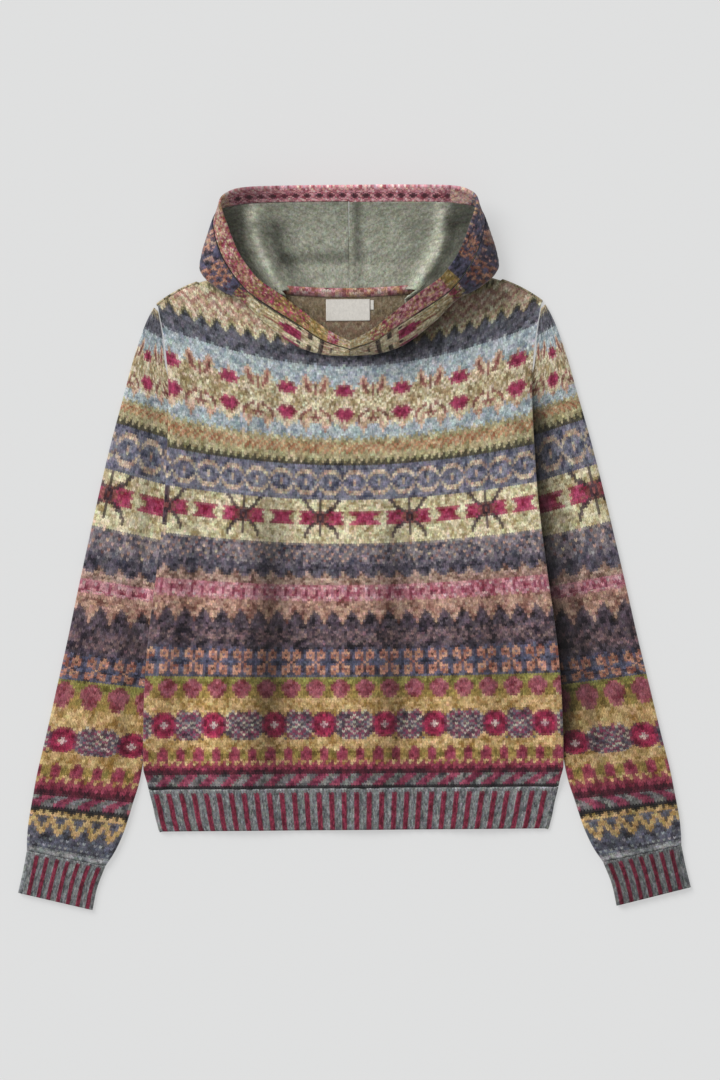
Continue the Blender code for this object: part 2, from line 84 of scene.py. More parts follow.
SHOULDER_BEND = 2.8
Neckline = namedtuple("Neckline", "drop power")
FRONT_NECK = Neckline(90.7, 0.5)
BACK_NECK = Neckline(24.8, 1.0)
NECK_TURN_LIFT = 22.0
NECK_TURN_BACK = 3.0
NECK_TURN_ANGLE = 94.0
NECK_TURN_SPREAD = 14.0
SLEEVE_THICK_HIDDEN = 5.7
SLEEVE_THICK = 8.4
SLEEVE_LOFT_FROM = 4.0
SLEEVE_LOFT_TO = 34.0
SLEEVE_ROUND_INNER = 4.0
SLEEVE_ROUND_OUTER = 8.0
SLEEVE_ROUND_SHARES = (0.3, 0.4)
SLEEVE_TOP_FADE = 50.0
UNDERARM = 580.0
UNDERARM_BLEND = 4.0
LIFT = 7.2
LIFT_RAMP = 30.0
LIFT_REACH = 2.0
LIFT_FADE_TOP = (573.0, 591.0)
LIFT_FADE_HEM = (34.0, 76.0)
BAND_WIDTH = 21.0
BAND_NARROW = 0.5
BAND_NARROW_REACH = 0.16
CROWN_EXTRA = 8.0
CROWN_STATIONS = (0.68, 0.84)
BAND_THICK = 4.1
BAND_GAP = 1.4
HOOD_REST = 2.35
HOOD_CLEAR = 0.4
ON_SHOULDER_HALF = (78.0, 98.0)
OFF_SHOULDER = (3.0, 24.0)
ON_FRONT_ANGLES = (88.0, 96.0)
RIDGE_HIGH = 10.0
RIDGE_SPREAD = 8.5
RIDGE_START = (676.0, 700.0)
RIDGE_END = (756.0, 778.0)
NECK_RISE = 4.0
NECK_RISE_HEIGHTS = (672.0, 703.0)
NECK_RISE_HALVES = (60.0, 96.0)
STRIP_WALL = 1.6
STRIP_REACH = 56.0
STRIP_ABOVE = 5.5
STRIP_BELOW = 4.5
LABEL_SIZE = (54.6, 27.0)
LABEL_CENTRE = (-2.0, 645.0)
LABEL_WALL = 1.0
LOOP_SIZE = (4.0, 12.0)
LOOP_CENTRE = (28.0, 651.0)
LOOP_WALL = 1.2

# ---- the knit ----
STITCH = 3.4              # width of one stitch
ROW = 2.85                # height of one row
BODY_HALF_STITCHES = 76
BODY_ROWS = 222
SLEEVE_STITCHES = 32      # across the flattened sleeve
HOOD_STITCHES = 36
FINE_STITCH = 2.1         # the lining's jersey
BACK_TUCK = 0.8           # the back's shoulder edge stays this far under the front's
EDGE_STEPS = (0.0, 0.03, 0.12, 0.4)   # extra columns in a panel's outermost stitch
EDGE_CURVE = 2.7          # how full the rounding at a folded edge is
EDGE_SHARE = 0.08         # the least of the half thickness that is left at that edge
NECK_END_BLEND = (-2, 0)  # where the open neck edge turns into the closed shoulder

Edge = namedtuple("Edge", "height half_width")
BODY_EDGE = [
    Edge(-2, 240.5), Edge(3, 242.6), Edge(17, 246.2), Edge(32, 249.2), Edge(47, 253),
    Edge(62, 256.5), Edge(77, 260.5), Edge(136, 260), Edge(192, 257.5), Edge(248, 252),
    Edge(310, 243.5), Edge(391, 234), Edge(441, 229.5), Edge(541, 225.5),
    Edge(601, 229), Edge(653.5, 238), Edge(700, 247),
]

Row = namedtuple("Row", "out_height out_half in_height in_half")
SLEEVE_ROWS = [
    Row(650.0, 243, 645.0, 237.5), Row(627, 254.5, 614, 232.5), Row(585, 269, 572, 228),
    Row(538, 282, 516, 210), Row(480, 298, 452, 206), Row(419, 313, 392, 209.5),
    Row(360, 326.5, 337, 215), Row(300, 340, 281, 222.5), Row(240, 353, 224, 233),
    Row(180, 367, 165.5, 246), Row(120, 381, 107.5, 257), Row(75, 392, 64, 265),
    Row(47, 397.5, 35, 274), Row(17, 403, 1, 285), Row(-5, 405.5, -24, 296.5),
    Row(-22, 406, -42, 308.5),
]
CUFF_ROWS = [
    Row(-22.3, 406, -42.3, 308.6), Row(-48, 411, -69, 319), Row(-74.4, 417.3, -96.7, 324.9),
]

Spoke = namedtuple("Spoke", "edge_x edge_h edge_z side_x side_h side_z turn neck_angle")
HOOD_SPOKES = [
    Spoke(0, 606, 21, 0, 590, 15.5, 4, 0),
    Spoke(27, 620, 22, 33, 592, 16.5, 5, 22),
    Spoke(62, 647, 25, 66, 603, 17.5, 8, 43),
    Spoke(89, 667, 29, 103, 630, 18.5, 12, 61),
    Spoke(112, 683, 34, 131, 657, 20, 15, 75),
    Spoke(127, 701, 38, 162, 674, 20.5, 16, 84),
    Spoke(137, 717, 41, 182, 693, 21, 16, 91),
    Spoke(144, 733, 43, 181, 714, 21.5, 16, 98),
    Spoke(150, 749, 45, 174, 737, 22, 18, 106),
    Spoke(156, 765, 46, 166, 759, 24, 22, 115),
    Spoke(159, 780, 47, 158, 770, 26, 30, 126),
    Spoke(150, 790, 47.5, 146, 775, 26, 42, 137),
    Spoke(128, 796, 48, 124, 778, 26, 54, 148),
    Spoke(72, 797.5, 48, 70, 780, 26, 66, 164),
    Spoke(0, 797.7, 48, 0, 780, 26, 70, 180),
]
SECTION_STEPS = 16
STATION_STEPS = 800

Crest = namedtuple("Crest", "height half_width")
LINING_CREST = [
    Crest(648, 64), Crest(660, 75.5), Crest(673, 85.6), Crest(691, 96), Crest(709, 106.6),
    Crest(729, 114), Crest(753, 116.5),
]

# How far the bands climb at the body's side edges, by their height in the middle.
Climb = namedtuple("Climb", "height rise")
BAND_CLIMB = [
    Climb(52, 0), Climb(129, 0), Climb(207, 5), Climb(293, 11.2), Climb(384, 19.2),
    Climb(458, 26), Climb(587, 53.3), Climb(690, 78),
]
CLIMB_POWER = 1.9

# Where the body's rows lie on a sleeve, as heights of its outer edge.
Level = namedtuple("Level", "row height")
SLEEVE_LEVELS = [
    Level(-22, -22), Level(1, 33.5), Level(7, 49.6), Level(11, 67), Level(17, 84.3),
    Level(21, 99.2), Level(34, 135.2), Level(47, 187.2), Level(60, 220.7), Level(80, 292.6),
    Level(87, 312.5), Level(107, 383.2), Level(126, 453.8), Level(143, 515.8),
    Level(160, 556), Level(176, 604), Level(184, 626), Level(195, 650),
]

# ---- yarns: the darkest and lightest fibre of each heather, as screen colours ----
Yarn = namedtuple("Yarn", "dark light")
YARNS = {
    "N": Yarn("3d3e47", "777680"),   # dusk navy
    "B": Yarn("8a979f", "c6d0d2"),   # light blue
    "W": Yarn("b3a27e", "ece0c2"),   # cream
    "w": Yarn("96685e", "c89e8e"),   # pinkish cream
    "T": Yarn("7e6a48", "ae9870"),   # tan mottle
    "R": Yarn("7a1f3c", "b24468"),   # crimson
    "M": Yarn("683432", "9a5c58"),   # maroon
    "s": Yarn("ae8672", "dcbea4"),   # pale salmon
    "O": Yarn("948964", "cabf98"),   # olive
    "u": Yarn("9c674a", "c69c78"),   # rust
    "d": Yarn("2c2b24", "5a543e"),   # dark olive
    "S": Yarn("484b5e", "8b8a9a"),   # steel
    "Q": Yarn("a08c7c", "dccab0"),   # oat
    "C": Yarn("b0a078", "f0e6c2"),   # butter cream
    "Z": Yarn("821c3a", "b64c6c"),   # bright crimson
    "K": Yarn("2a2026", "54424a"),   # near black brown
    "F": Yarn("4a4a58", "978c90"),   # flecked navy
    "D": Yarn("302e3a", "6e6672"),   # deep navy
    "A": Yarn("735448", "c2a494"),   # brown heather
    "P": Yarn("9c5462", "d29ca2"),   # rose
    "p": Yarn("641a30", "96405a"),   # wine
    "a": Yarn("7e564c", "c8a28e"),   # sandy heather
    "X": Yarn("201b22", "645660"),   # black navy
    "x": Yarn("342c36", "8a7070"),   # plum fleck
    "f": Yarn("94604e", "cc987e"),   # salmon
    "V": Yarn("282a3a", "606278"),   # ink
    "v": Yarn("68602c", "a09854"),   # moss
    "b": Yarn("78343f", "a8626c"),   # dusty rose
    "o": Yarn("72602f", "a88e50"),   # bronze
    "g": Yarn("987844", "d4b482"),   # gold
    "m": Yarn("6a1830", "aa3454"),   # berry
    "c": Yarn("b09094", "dcc6be"),   # pale pink
    "k": Yarn("4c2a3c", "8c3c58"),   # plum
    "y": Yarn("7c7070", "c2b6a6"),   # stone
    "h": Yarn("702437", "a0465a"),   # garnet
    "q": Yarn("2c161e", "5c2230"),   # black cherry
    "G": Yarn("464648", "888684"),   # grey
    "E": Yarn("68243c", "98485e"),   # raspberry
    "L": Yarn("121014", "2c2a2c"),   # charcoal line
    "J": Yarn("6c6e70", "a4a6a6"),   # silver
    "I": Yarn("5e1a2a", "843045"),   # rib crimson
    "i": Yarn("585a5c", "8a8c8c"),   # rib grey
    "j": Yarn("a08250", "d2b27e"),   # straw
    "e": Yarn("323039", "606270"),   # slate
    "l": Yarn("7a7c6c", "b6b8a8"),   # grey green
    "t": Yarn("54483a", "8c7c66"),   # taupe
    "H": Yarn("5c4e5c", "c49c8e"),   # purple salmon heather
    "n": Yarn("33323f", "646078"),   # hood navy
    "Y": Yarn("181114", "3c2c30"),   # dashes at the neck's point
}
YARN_GAIN = 1.12          # the stitches' own shade is made up for by this much

# ---- charts, one letter to a stitch, top row first ----
Chart = namedtuple("Chart", "rows mirrored centre spots")


def chart(text, mirrored=False, centre=0, spots=()):
    """Rows of letters. A mirrored chart holds half a repeat, from its middle out. Spots
    are the columns that its middles fall on, where they aren't evenly spaced."""
    return Chart(text.split(), mirrored, centre, spots)


SHOULDER_TOP = chart("""
    WWOW WOWW WWWW OWWW WWWO WWOW WWWW WOWO OWWW WWWW WWOW OWWW WWWO WOWW""", True)
OLIVE_PATCHES = chart("OOWW ldOW OdOW OOWW", True)
PINK_ZIGZAG = chart("wwWW WwwW WWww wWWw wwWW WwwW WWww wWWw", True)
CREAM_POINTS = chart("OwWW OWwW dOWW NdWw NNOW NNNW", True)
DUSK = chart("NNNN NNNN NNNN NNNN NNNN NNNN NNNB", True)
POPPIES = chart("""
    BBBBBBBBBBBBB BBBBBBBBBBBBB BBBBBBBBBBBBB BBBBBBBBBBBBB BBBBBBBBsBBBB BBBBBBBsssBBB
    sBBBBBBsMsBBB sBBBBBssMssBs
    sRRsBBBWMMsWM RRRWBWWWMMWWM RRRRRWTWsMMWM RRRRWTWWTsMWM RRsRWWTWWWWWM sWWWWTWWWTWWW
    WWWTTWWTWWTWT WWWWTTWTTWWTW WWTWTTTWWTWWW WWWWTWTWTWWWW sRRWTWTWWWMWW RRRRWTWWWMMWM
    RRRRRWWMMWWWM RRRRWWMMWWWWM RRRsWWMWWsMMM sRsWWsMWWsWMW WsWWWBsWssWWs sWWBWBssssBBB
    ssBBBBBsssBBB sBBBBBBBsBBBB BBBBBBBBsBBBB BBBBBBBBBBBBB BOBBBBOBBBBOB""", True, -3)
OLIVE_RUST = chart("OBO OOO OOu uuO uOu Ouu OuO OOO")
OLIVE_TEETH = chart("OOO OOd Odd ddd")
STEEL_RINGS = chart("""
    SSSSSS SSSSSS sQQSSS QQsQSS SSSQQS SSSSQS QSSSSQ sSSSSS QSSSSQ SSSSQS SSSQQS QQsQSS
    sQQSSS SSSSSS SSSSSS""", True, 1)
STARS = chart("""
    KCCCCCKKCCCCCCCTC KCCCCKKCCCCCTCCCC KCCCCKCCCCCCCCCTT KCCCKKCCCTCCCCCCC
    KCCKKCCCCCCCCCCCC KMKKZZZZZCCZZZZZZ KKMZMZZZCCCCZZZZZ MKMMZZZZZCCCCZZZZ
    MKMMZZZZCOCCCZZZZ KKMZMZZZZCCCZZZZZ KMKKZZZZZCCZZZZZZ KCCKKCCCCCCCCCCCC
    KCCCKKCCCCCCCCCTC KCCCCKCCCCCTCCCCT KCCCCKKCCCCCCCCCC KCCCCCKCCCCCCCCCC
    CCCCCCKCCCCCCCCCC CCCCCCCCCCCTCCCCC CCCCCCCCCCCCCCCCC""", True,
              spots=(-75, -44, -13, 23, 54, 85))
NAVY_FLECKS = chart("""
    FFsFFFF FFFFFaF FaFFFFF FFFFsFF FFFFFFa FFsFFFF DFFFFaF FFDaFFF FDFFDFF DDFDFDD
    DDDDDDD DDDDDDD DDDADDD DDDAADD DDAAAAD""")
BROWN_HEATHER = chart("A A A")
ROSE_DOTS = chart("PPPP PcPP PPpP PPpP PPpP PPPc aPPP")
SANDY_POINTS = chart("""
    aaaaaaa aaaaaaa aAaaaaa aaaaaaa aaaaaaX XaaaaaX XXaaaXX XXaaaXX XXXaXXX XXXaXXX""")
BLACK_NAVY = chart("XXXXXX XXXxXX XxXXXx XxxXxx xXxxxX xxxXxx xxxxxX xXxxXx XxXXxX XXXXXX XVXXVX")
BLOSSOMS = chart("""
    VVfVVVfVV VfffVfffV VfVfVfVfV VfffVfffV VVVfVfVVV VVVVfVVVV VVVfVfVVV VfffVfffV
    VfVfVfVfV VfffVfffV VffVVVffV VVVVVVVVV""")
ROSE_ROUNDS = chart("""
    vvvvvvvvv vvvbbbvvv vvbbbbbvv vbbbbbbbv obbbbbbbo obbbbbbbo oobbbbboo oobbbbboo
    oogbbbgoo""")
GOLD_BROAD = chart("g g g g g")
MEDALLIONS = chart("""
    ggkgyggggggggggggkygg kekykegggkmmmkggkykey ykkekkygkmmmmmkgkkekk kyekykekmmmmmmmkyekky
    ekyykeykmmmmmmmkeykek yekkeykkmmmcmmmkkeyye kyeykeymmmcccmmmykeky yekkeykkmmmcmmmkkeyye
    ekyykeykmmmmmmmkeykek kyekykekmmmmmmmkyekky ykkekkygkmmmmmkgkkekk kekykegggkmmmkggkykey
    eykeyggggggggggegkyke""", True)
GOLD = chart("g g g")
GARNET_BLOCKS = chart("""
    gghggggghhggg ghhhoogghhhoo ohhhooohhhhoo ohhhooohhhhoo ohhhooohhhhoo ghhhogghhhhgo""")
CHERRY_TEETH = chart("ghg hhg hhh hqh qqq qqq")
ROPE = chart("GGGEEEEG GGEEEEGG GEEEEGGG EEEEGGGG EEEGGGGE")
CHARCOAL_LINE = chart("L")
STRAW_ZIGZAG = chart("""
    LLLL LjLL LjjL jjjj eeej eejj eejj ejje ejje jjee jjee jeee eeee eeJe eeee eeee
    JeJe eeee iiii JJJJ JJJJ iiii""", True)

BODY_CHARTS = [          # from the shoulders down to the hem band
    SHOULDER_TOP, OLIVE_PATCHES, PINK_ZIGZAG, CREAM_POINTS, DUSK, POPPIES, OLIVE_RUST,
    OLIVE_TEETH, STEEL_RINGS, STARS, NAVY_FLECKS, BROWN_HEATHER, ROSE_DOTS, SANDY_POINTS,
    BLACK_NAVY, BLOSSOMS, ROSE_ROUNDS, GOLD_BROAD, MEDALLIONS, GOLD, GARNET_BLOCKS,
    CHERRY_TEETH, ROPE, CHARCOAL_LINE,
]


# ---- small helpers ----
def smooth(low, high, value):
    """0 below low, 1 above high, with a soft ramp between."""
    t = np.clip((np.asarray(value, float) - low) / (high - low), 0.0, 1.0)
    return t * t * (3 - 2 * t)


def mix(a, b, t):
    return a + (b - a) * t


def bump(value, middle, spread):
    return np.exp(-((value - middle) / spread) ** 2)


def eased(a, b, slope_a, slope_b, f):
    """From a to b on a smooth curve that starts and ends with the given slopes."""
    return (a * (2 * f**3 - 3 * f**2 + 1) + slope_a * (f**3 - 2 * f**2 + f)
            + b * (3 * f**2 - 2 * f**3) + slope_b * (f**3 - f**2))


def spline(values, t):
    """A smooth curve through evenly spaced values; t counts from the first one."""
    values = np.asarray(values, float)
    t = np.asarray(t, float)
    last = len(values) - 1
    i = np.clip(np.floor(t).astype(int), 0, last - 1)
    slope_a = (values[i + 1] - values[np.maximum(i - 1, 0)]) / 2
    slope_b = (values[np.minimum(i + 2, last)] - values[i]) / 2
    return eased(values[i], values[i + 1], slope_a, slope_b, t - i)


def read(rows, key, column, value):
    """Read a table's column at a value of its key, on a smooth curve."""
    keys = np.array([getattr(row, key) for row in rows], float)
    values = np.array([getattr(row, column) for row in rows], float)
    if keys[0] > keys[-1]:
        keys, values = keys[::-1], values[::-1]
    value = np.clip(value, keys[0], keys[-1])
    i = np.clip(np.searchsorted(keys, value, side="right") - 1, 0, len(keys) - 2)
    return spline(values, i + (value - keys[i]) / (keys[i + 1] - keys[i]))


def place(points):
    """Millimetres from the hem's middle to metres in the frame."""
    points = np.array(points, float)
    points[..., 1] -= HEM_TO_ORIGIN
    return points * MM


def curve_through(knots, steps):
    """Points of one smooth curve through unevenly spaced knots, steps to a span."""
    knots = np.asarray(knots, float)
    spans = np.linalg.norm(np.diff(knots, axis=0), axis=1)
    ways = np.diff(knots, axis=0) / spans[:, None]
    slopes = np.vstack([ways[:1], (ways[:-1] + ways[1:]) / 2, ways[-1:]])
    f = np.arange(steps)[:, None] / steps
    parts = [eased(knots[i], knots[i + 1], slopes[i] * spans[i], slopes[i + 1] * spans[i], f)
             for i in range(len(spans))]
    return np.vstack(parts + [knots[-1:]])


def face_middles(points):
    return (points[1:, 1:] + points[:-1, :-1]) / 2


def in_stitches(across, down):
    """The place of each corner of a grid, counted in stitches and rows."""
    return np.stack(np.meshgrid(across, down), axis=-1).astype(float)


# ---- the body's form ----
def body_half_width(height):
    return read(BODY_EDGE, "height", "half_width", height)


def shoulder_height(x):
    reach = np.maximum(np.abs(x) - SHOULDER_INNER, 0) / (SHOULDER_TIP - SHOULDER_INNER)
    return SHOULDER_HEIGHT - SHOULDER_DROP * reach**SHOULDER_BEND


def top_height(x, neckline):
    """The panel's upper edge: the neckline in the middle, then the shoulder."""
    inside = np.clip(1 - (np.asarray(x, float) / SHOULDER_INNER) ** 2, 0, 1)
    return np.where(np.abs(x) < SHOULDER_INNER,
                    SHOULDER_HEIGHT - neckline.drop * inside**neckline.power, shoulder_height(x))


def sleeve_inner_half(height):
    return read(SLEEVE_ROWS, "in_height", "in_half", height)


def lift_at_edge(height):
    """How high the body's side edge rides over the sleeve under it."""
    under = np.maximum(body_half_width(height) - sleeve_inner_half(height), 0) + LIFT_REACH
    under = np.minimum(under, LIFT)
    rise = np.sqrt(LIFT**2 - (LIFT - under) ** 2)
    return rise * (1 - smooth(*LIFT_FADE_TOP, height)) * smooth(*LIFT_FADE_HEM, height)


def body_bottom(x, height):
    inner = np.minimum(sleeve_inner_half(height), body_half_width(height))
    return lift_at_edge(height) * smooth(0, 1, (np.abs(x) - inner + LIFT_RAMP) / (LIFT_RAMP - 1))


def body_thick(x, height):
    from_side = body_half_width(height) - np.abs(x)
    from_top = shoulder_height(x) - height
    loft = BODY_LOFT * smooth(0, LOFT_REACH, np.minimum(from_side, from_top + LOFT_TOP_LEAD))
    loft = loft + UNDERARM_LOFT * bump(height, UNDERARM, UNDERARM_SPREAD)
    ripple = np.cos(2 * np.pi * (x - FOLD_AT) / FOLD_PITCH)
    fade = (1 - smooth(FOLD_FULL, FOLD_TOP, height)) * smooth(FOLD_EDGE, LOFT_REACH, from_side)
    return BODY_THICK_EDGE + loft + FOLD_RISE * ripple * fade


def body_top(x, height):
    return body_bottom(x, height) + body_thick(x, height)


def edge_share(depth, rounding, closed):
    """Share of the half thickness at a depth in from an edge that is folded shut."""
    inward = np.clip(1 - depth / rounding, 0, 1)
    share = np.maximum((1 - inward**EDGE_CURVE) ** (1 / EDGE_CURVE), EDGE_SHARE)
    return mix(1.0, share, closed)


def side_closed(height):
    return 1 - smooth(UNDERARM - UNDERARM_BLEND, UNDERARM + UNDERARM_BLEND, height)


def stitch_places(count):
    """Column places from 0 to count, with extra ones in the outermost stitches."""
    middle = np.arange(1, count)
    ends = np.array(EDGE_STEPS)
    return np.concatenate([ends, middle, (count - ends)[::-1]])


# Soft creases along straight ways from (x1, h1) to (x2, h2): troughs (depth below 0) and
# ridges. The front's run from the armholes, from the sides and down to the hem band.
Crease = namedtuple("Crease", "x1 h1 x2 h2 width depth")
CREASE_STARTS = (-0.15, 0.25)         # shares of its way over which a crease grows
CREASE_ENDS = (0.7, 1.15)             # and fades again
CREASE_SIDE_FADE = (2, 14)            # creases stop short of the side edges
CREASE_TOP_FADE = (2, 16)             # and of the shoulders
FRONT_CREASES = [
    Crease(-228, 560, -196, 628, 9, -1.5), Crease(-216, 556, -170, 596, 12, 1.1),
    Crease(229, 566, 204, 632, 10, -1.7), Crease(214, 552, 160, 590, 13, 1.0),
    Crease(-226, 500, -150, 470, 16, 0.9), Crease(224, 486, 160, 440, 18, 0.9),
    Crease(-120, 420, -60, 330, 26, -0.7), Crease(130, 400, 80, 300, 24, -0.8),
    Crease(-238, 330, -190, 300, 15, 0.8), Crease(240, 300, 186, 262, 15, 0.8),
    Crease(-30, 560, 20, 470, 30, 0.6), Crease(196, 210, 214, 110, 13, -0.8),
    Crease(-206, 200, -222, 92, 14, -0.7), Crease(-134, 420, -132, 48, 22, 3.2),
    Crease(10, 395, 12, 46, 24, 3.4), Crease(150, 330, 140, 70, 24, 2.4),
    Crease(-80, 560, -104, 420, 20, -0.9), Crease(60, 520, 44, 400, 22, -0.9),
]
# Painted shade and painted light on the front's colour: where its folds lie dark in their lee
# (below 0) or catch the light, and the hood's shadow painted over the right yoke.
FRONT_PAINTED_SHADES = [
    Crease(-99, 425, -106, 36, 24, -0.66), Crease(52, 410, 48, 44, 19, -0.5),
    Crease(-24, 372, -26, 60, 14, 0.08), Crease(108, 360, 110, 66, 14, 0.1),
    Crease(-174, 306, -180, 70, 14, 0.2), Crease(-211, 480, -216, 200, 11, -0.2),
    Crease(172, 300, 177, 150, 16, -0.24), Crease(214, 610, 206, 430, 15, -0.2),
    Crease(24, 577, 236, 687, 30, -0.78), Crease(-104, 560, -106, 450, 22, -0.1),
    Crease(-190, 160, -192, 40, 16, 0.25),
]


def crease_rise(creases, x, height):
    """Soft troughs and ridges along straight ways, fading at both ends."""
    rise = np.zeros(np.broadcast(x, height).shape)
    for c in creases:
        way = np.array([c.x2 - c.x1, c.h2 - c.h1], float)
        length = np.hypot(*way)
        way = way / length
        along = (x - c.x1) * way[0] + (height - c.h1) * way[1]
        across = (x - c.x1) * way[1] - (height - c.h1) * way[0]
        share = along / length
        ends = smooth(*CREASE_STARTS, share) * (1 - smooth(*CREASE_ENDS, share))
        rise = rise + c.depth * ends * bump(across, 0, c.width)
    return rise


def panel_points(side, neckline, creases):
    """Points of the front (side 1) or back (side -1), and their places in stitches."""
    columns = stitch_places(2 * BODY_HALF_STITCHES)
    s = columns[None, :] / BODY_HALF_STITCHES - 1
    rows = np.arange(BODY_ROWS + 1)[:, None]
    middle = HEM_BAND_TOP + GAP / 2 + rows * ROW
    height = middle + read(BAND_CLIMB, "height", "rise", middle) * np.abs(s) ** CLIMB_POWER
    raw = height
    for _ in range(3):
        x = s * body_half_width(height)
        height = np.minimum(raw, top_height(x, neckline) - GAP / 2 - (side < 0) * BACK_TUCK)
    x = s * body_half_width(height)
    stitches = np.stack(np.broadcast_arrays(columns[None, :], rows - (raw - height) / ROW), axis=-1)
    from_side = body_half_width(height) - np.abs(x)
    from_top = top_height(x, neckline) - GAP / 2 - height
    share = edge_share(from_side, EDGE_ROUND, side_closed(height))
    on_shoulder = smooth(*NECK_END_BLEND, np.abs(x) - SHOULDER_INNER)
    share = share * edge_share(from_top, EDGE_ROUND, on_shoulder)
    thick = body_thick(x, height)
    if side < 0:
        thick = np.maximum(thick, BODY_THICK_EDGE)
    else:
        inside = smooth(*CREASE_SIDE_FADE, from_side) * smooth(*CREASE_TOP_FADE, from_top)
        thick = thick + crease_rise(creases, x, height) * inside
    z = body_bottom(x, height) + thick * (0.5 + 0.5 * side * share)
    return np.stack([x, height, z], axis=-1), stitches


# ---- the sleeve's form ----
def row_value(rows, t, column):
    return spline([getattr(row, column) for row in rows], t * (len(rows) - 1))


SLEEVE_CREASES = [
    Crease(250, 600, 222, 560, 8, 1.2), Crease(268, 520, 226, 488, 11, 1.3),
    Crease(292, 430, 236, 400, 13, -1.0), Crease(320, 352, 262, 330, 14, 1.2),
    Crease(338, 262, 300, 236, 12, -1.1), Crease(356, 190, 300, 160, 13, 1.0),
    Crease(376, 96, 330, 60, 11, -0.9), Crease(392, 30, 340, 2, 10, 1.0),
]


SLEEVE_CREASE_OUT = (0, 16)           # creases fade in from the sleeve's outer edge
SLEEVE_CREASE_IN = (0, 24)            # and from the body's edge that lies on it
FINE_STEPS = 1500

# The body's shadow painted on each sleeve beside it: how deep, how far out and how wide.
Lee = namedtuple("Lee", "depth out width")
SLEEVE_PAINTED_SHADOWS = {-1: Lee(0.34, 25, 11), 1: Lee(0.88, 6, 18)}
LEE_TOP = (500.0, 580.0)  # heights between which the lee fades at the underarm
LEE_HEM = (60.0, 120.0)   # and towards the hem
# Painted shade and painted light along each sleeve's folds.
SLEEVE_PAINTED_SHADES = {
    -1: [Crease(-236, 470, -240, 330, 7, 0.14), Crease(-252, 340, -262, 250, 16, 0.35),
         Crease(-286, 170, -262, 120, 14, 0.14), Crease(-350, 60, -320, -20, 22, -0.12)],
    1: [Crease(268, 600, 330, 330, 22, -0.12), Crease(296, 340, 366, 0, 30, -0.22),
        Crease(392, 60, 300, -30, 18, -0.25), Crease(250, 478, 312, 24, 11, -0.52)],
}


def sleeve_painted_shade(points, way):
    """Painted light and shade along a sleeve: its own folds, and the painted shadow of the body's
    edge.
    """
    x, height = points[..., 0], points[..., 1]
    lee = SLEEVE_PAINTED_SHADOWS[way]
    beyond = np.abs(x) - body_half_width(height)
    fade = (1 - smooth(*LEE_TOP, height)) * smooth(*LEE_HEM, height)
    folds = crease_rise(SLEEVE_PAINTED_SHADES[way], x, height)
    return (1 - lee.depth * fade * bump(beyond, lee.out, lee.width)) * (1 + folds)


def sleeve_points():
    """Points round and down the right sleeve, from the inner edge along the underside."""
    rows = np.arange(SLEEVE_LEVELS[0].row, SLEEVE_LEVELS[-1].row + 1)
    levels = read(SLEEVE_LEVELS, "row", "height", rows)
    fine = np.linspace(0, 1, FINE_STEPS)
    t = np.interp(-levels, -row_value(SLEEVE_ROWS, fine, "out_height"), fine)[:, None]
    places = stitch_places(SLEEVE_STITCHES)
    across = np.concatenate([places, places[::-1]])[None, :] / SLEEVE_STITCHES
    side = np.concatenate([-np.ones(len(places)), np.ones(len(places))])[None, :]
    round_way = np.concatenate([places, 2 * SLEEVE_STITCHES - places[::-1]])[None, :]
    in_x, in_h = row_value(SLEEVE_ROWS, t, "in_half"), row_value(SLEEVE_ROWS, t, "in_height")
    out_x, out_h = row_value(SLEEVE_ROWS, t, "out_half"), row_value(SLEEVE_ROWS, t, "out_height")
    width = np.hypot(out_x - in_x, out_h - in_h)
    d = across * width
    x = mix(in_x, out_x, across)
    height = mix(in_h, out_h, across)
    round_in = np.minimum(SLEEVE_ROUND_INNER, width * SLEEVE_ROUND_SHARES[0])
    round_out = np.minimum(SLEEVE_ROUND_OUTER, width * SLEEVE_ROUND_SHARES[1])
    share = edge_share(d, round_in, side_closed(in_h)) * edge_share(width - d, round_out, 1.0)
    under = body_half_width(np.maximum(in_h, 0)) - in_x
    loft = smooth(0, 1, (d - under - SLEEVE_LOFT_FROM) / (SLEEVE_LOFT_TO - SLEEVE_LOFT_FROM))
    thick = mix(SLEEVE_THICK_HIDDEN, SLEEVE_THICK, loft)
    thick = mix(thick, BODY_THICK_EDGE, smooth(UNDERARM, UNDERARM + SLEEVE_TOP_FADE, in_h))
    inside = smooth(*SLEEVE_CREASE_OUT, width - d) * smooth(*SLEEVE_CREASE_IN, d - under)
    inside = inside * (side > 0)
    thick = thick + crease_rise(SLEEVE_CREASES, x, height) * inside
    z = thick * (0.5 + 0.5 * side * share)
    stitches = np.stack(np.broadcast_arrays(round_way, rows[:, None] - rows[0]), axis=-1)
    return np.stack(np.broadcast_arrays(x, height, z), axis=-1), stitches, rows


# ---- the hood's form ----
def hood_floor(x, height, neck_angle):
    """The lowest the hood wall's middle may lie: on the surface, or on the body."""
    on_shoulder = smooth(*ON_SHOULDER_HALF, x)
    on_shoulder = on_shoulder * (1 - smooth(*OFF_SHOULDER, height - shoulder_height(x)))
    over = np.maximum(1 - smooth(*ON_FRONT_ANGLES, neck_angle), on_shoulder)
    return HOOD_REST + over * (body_top(x, height) + HOOD_CLEAR)


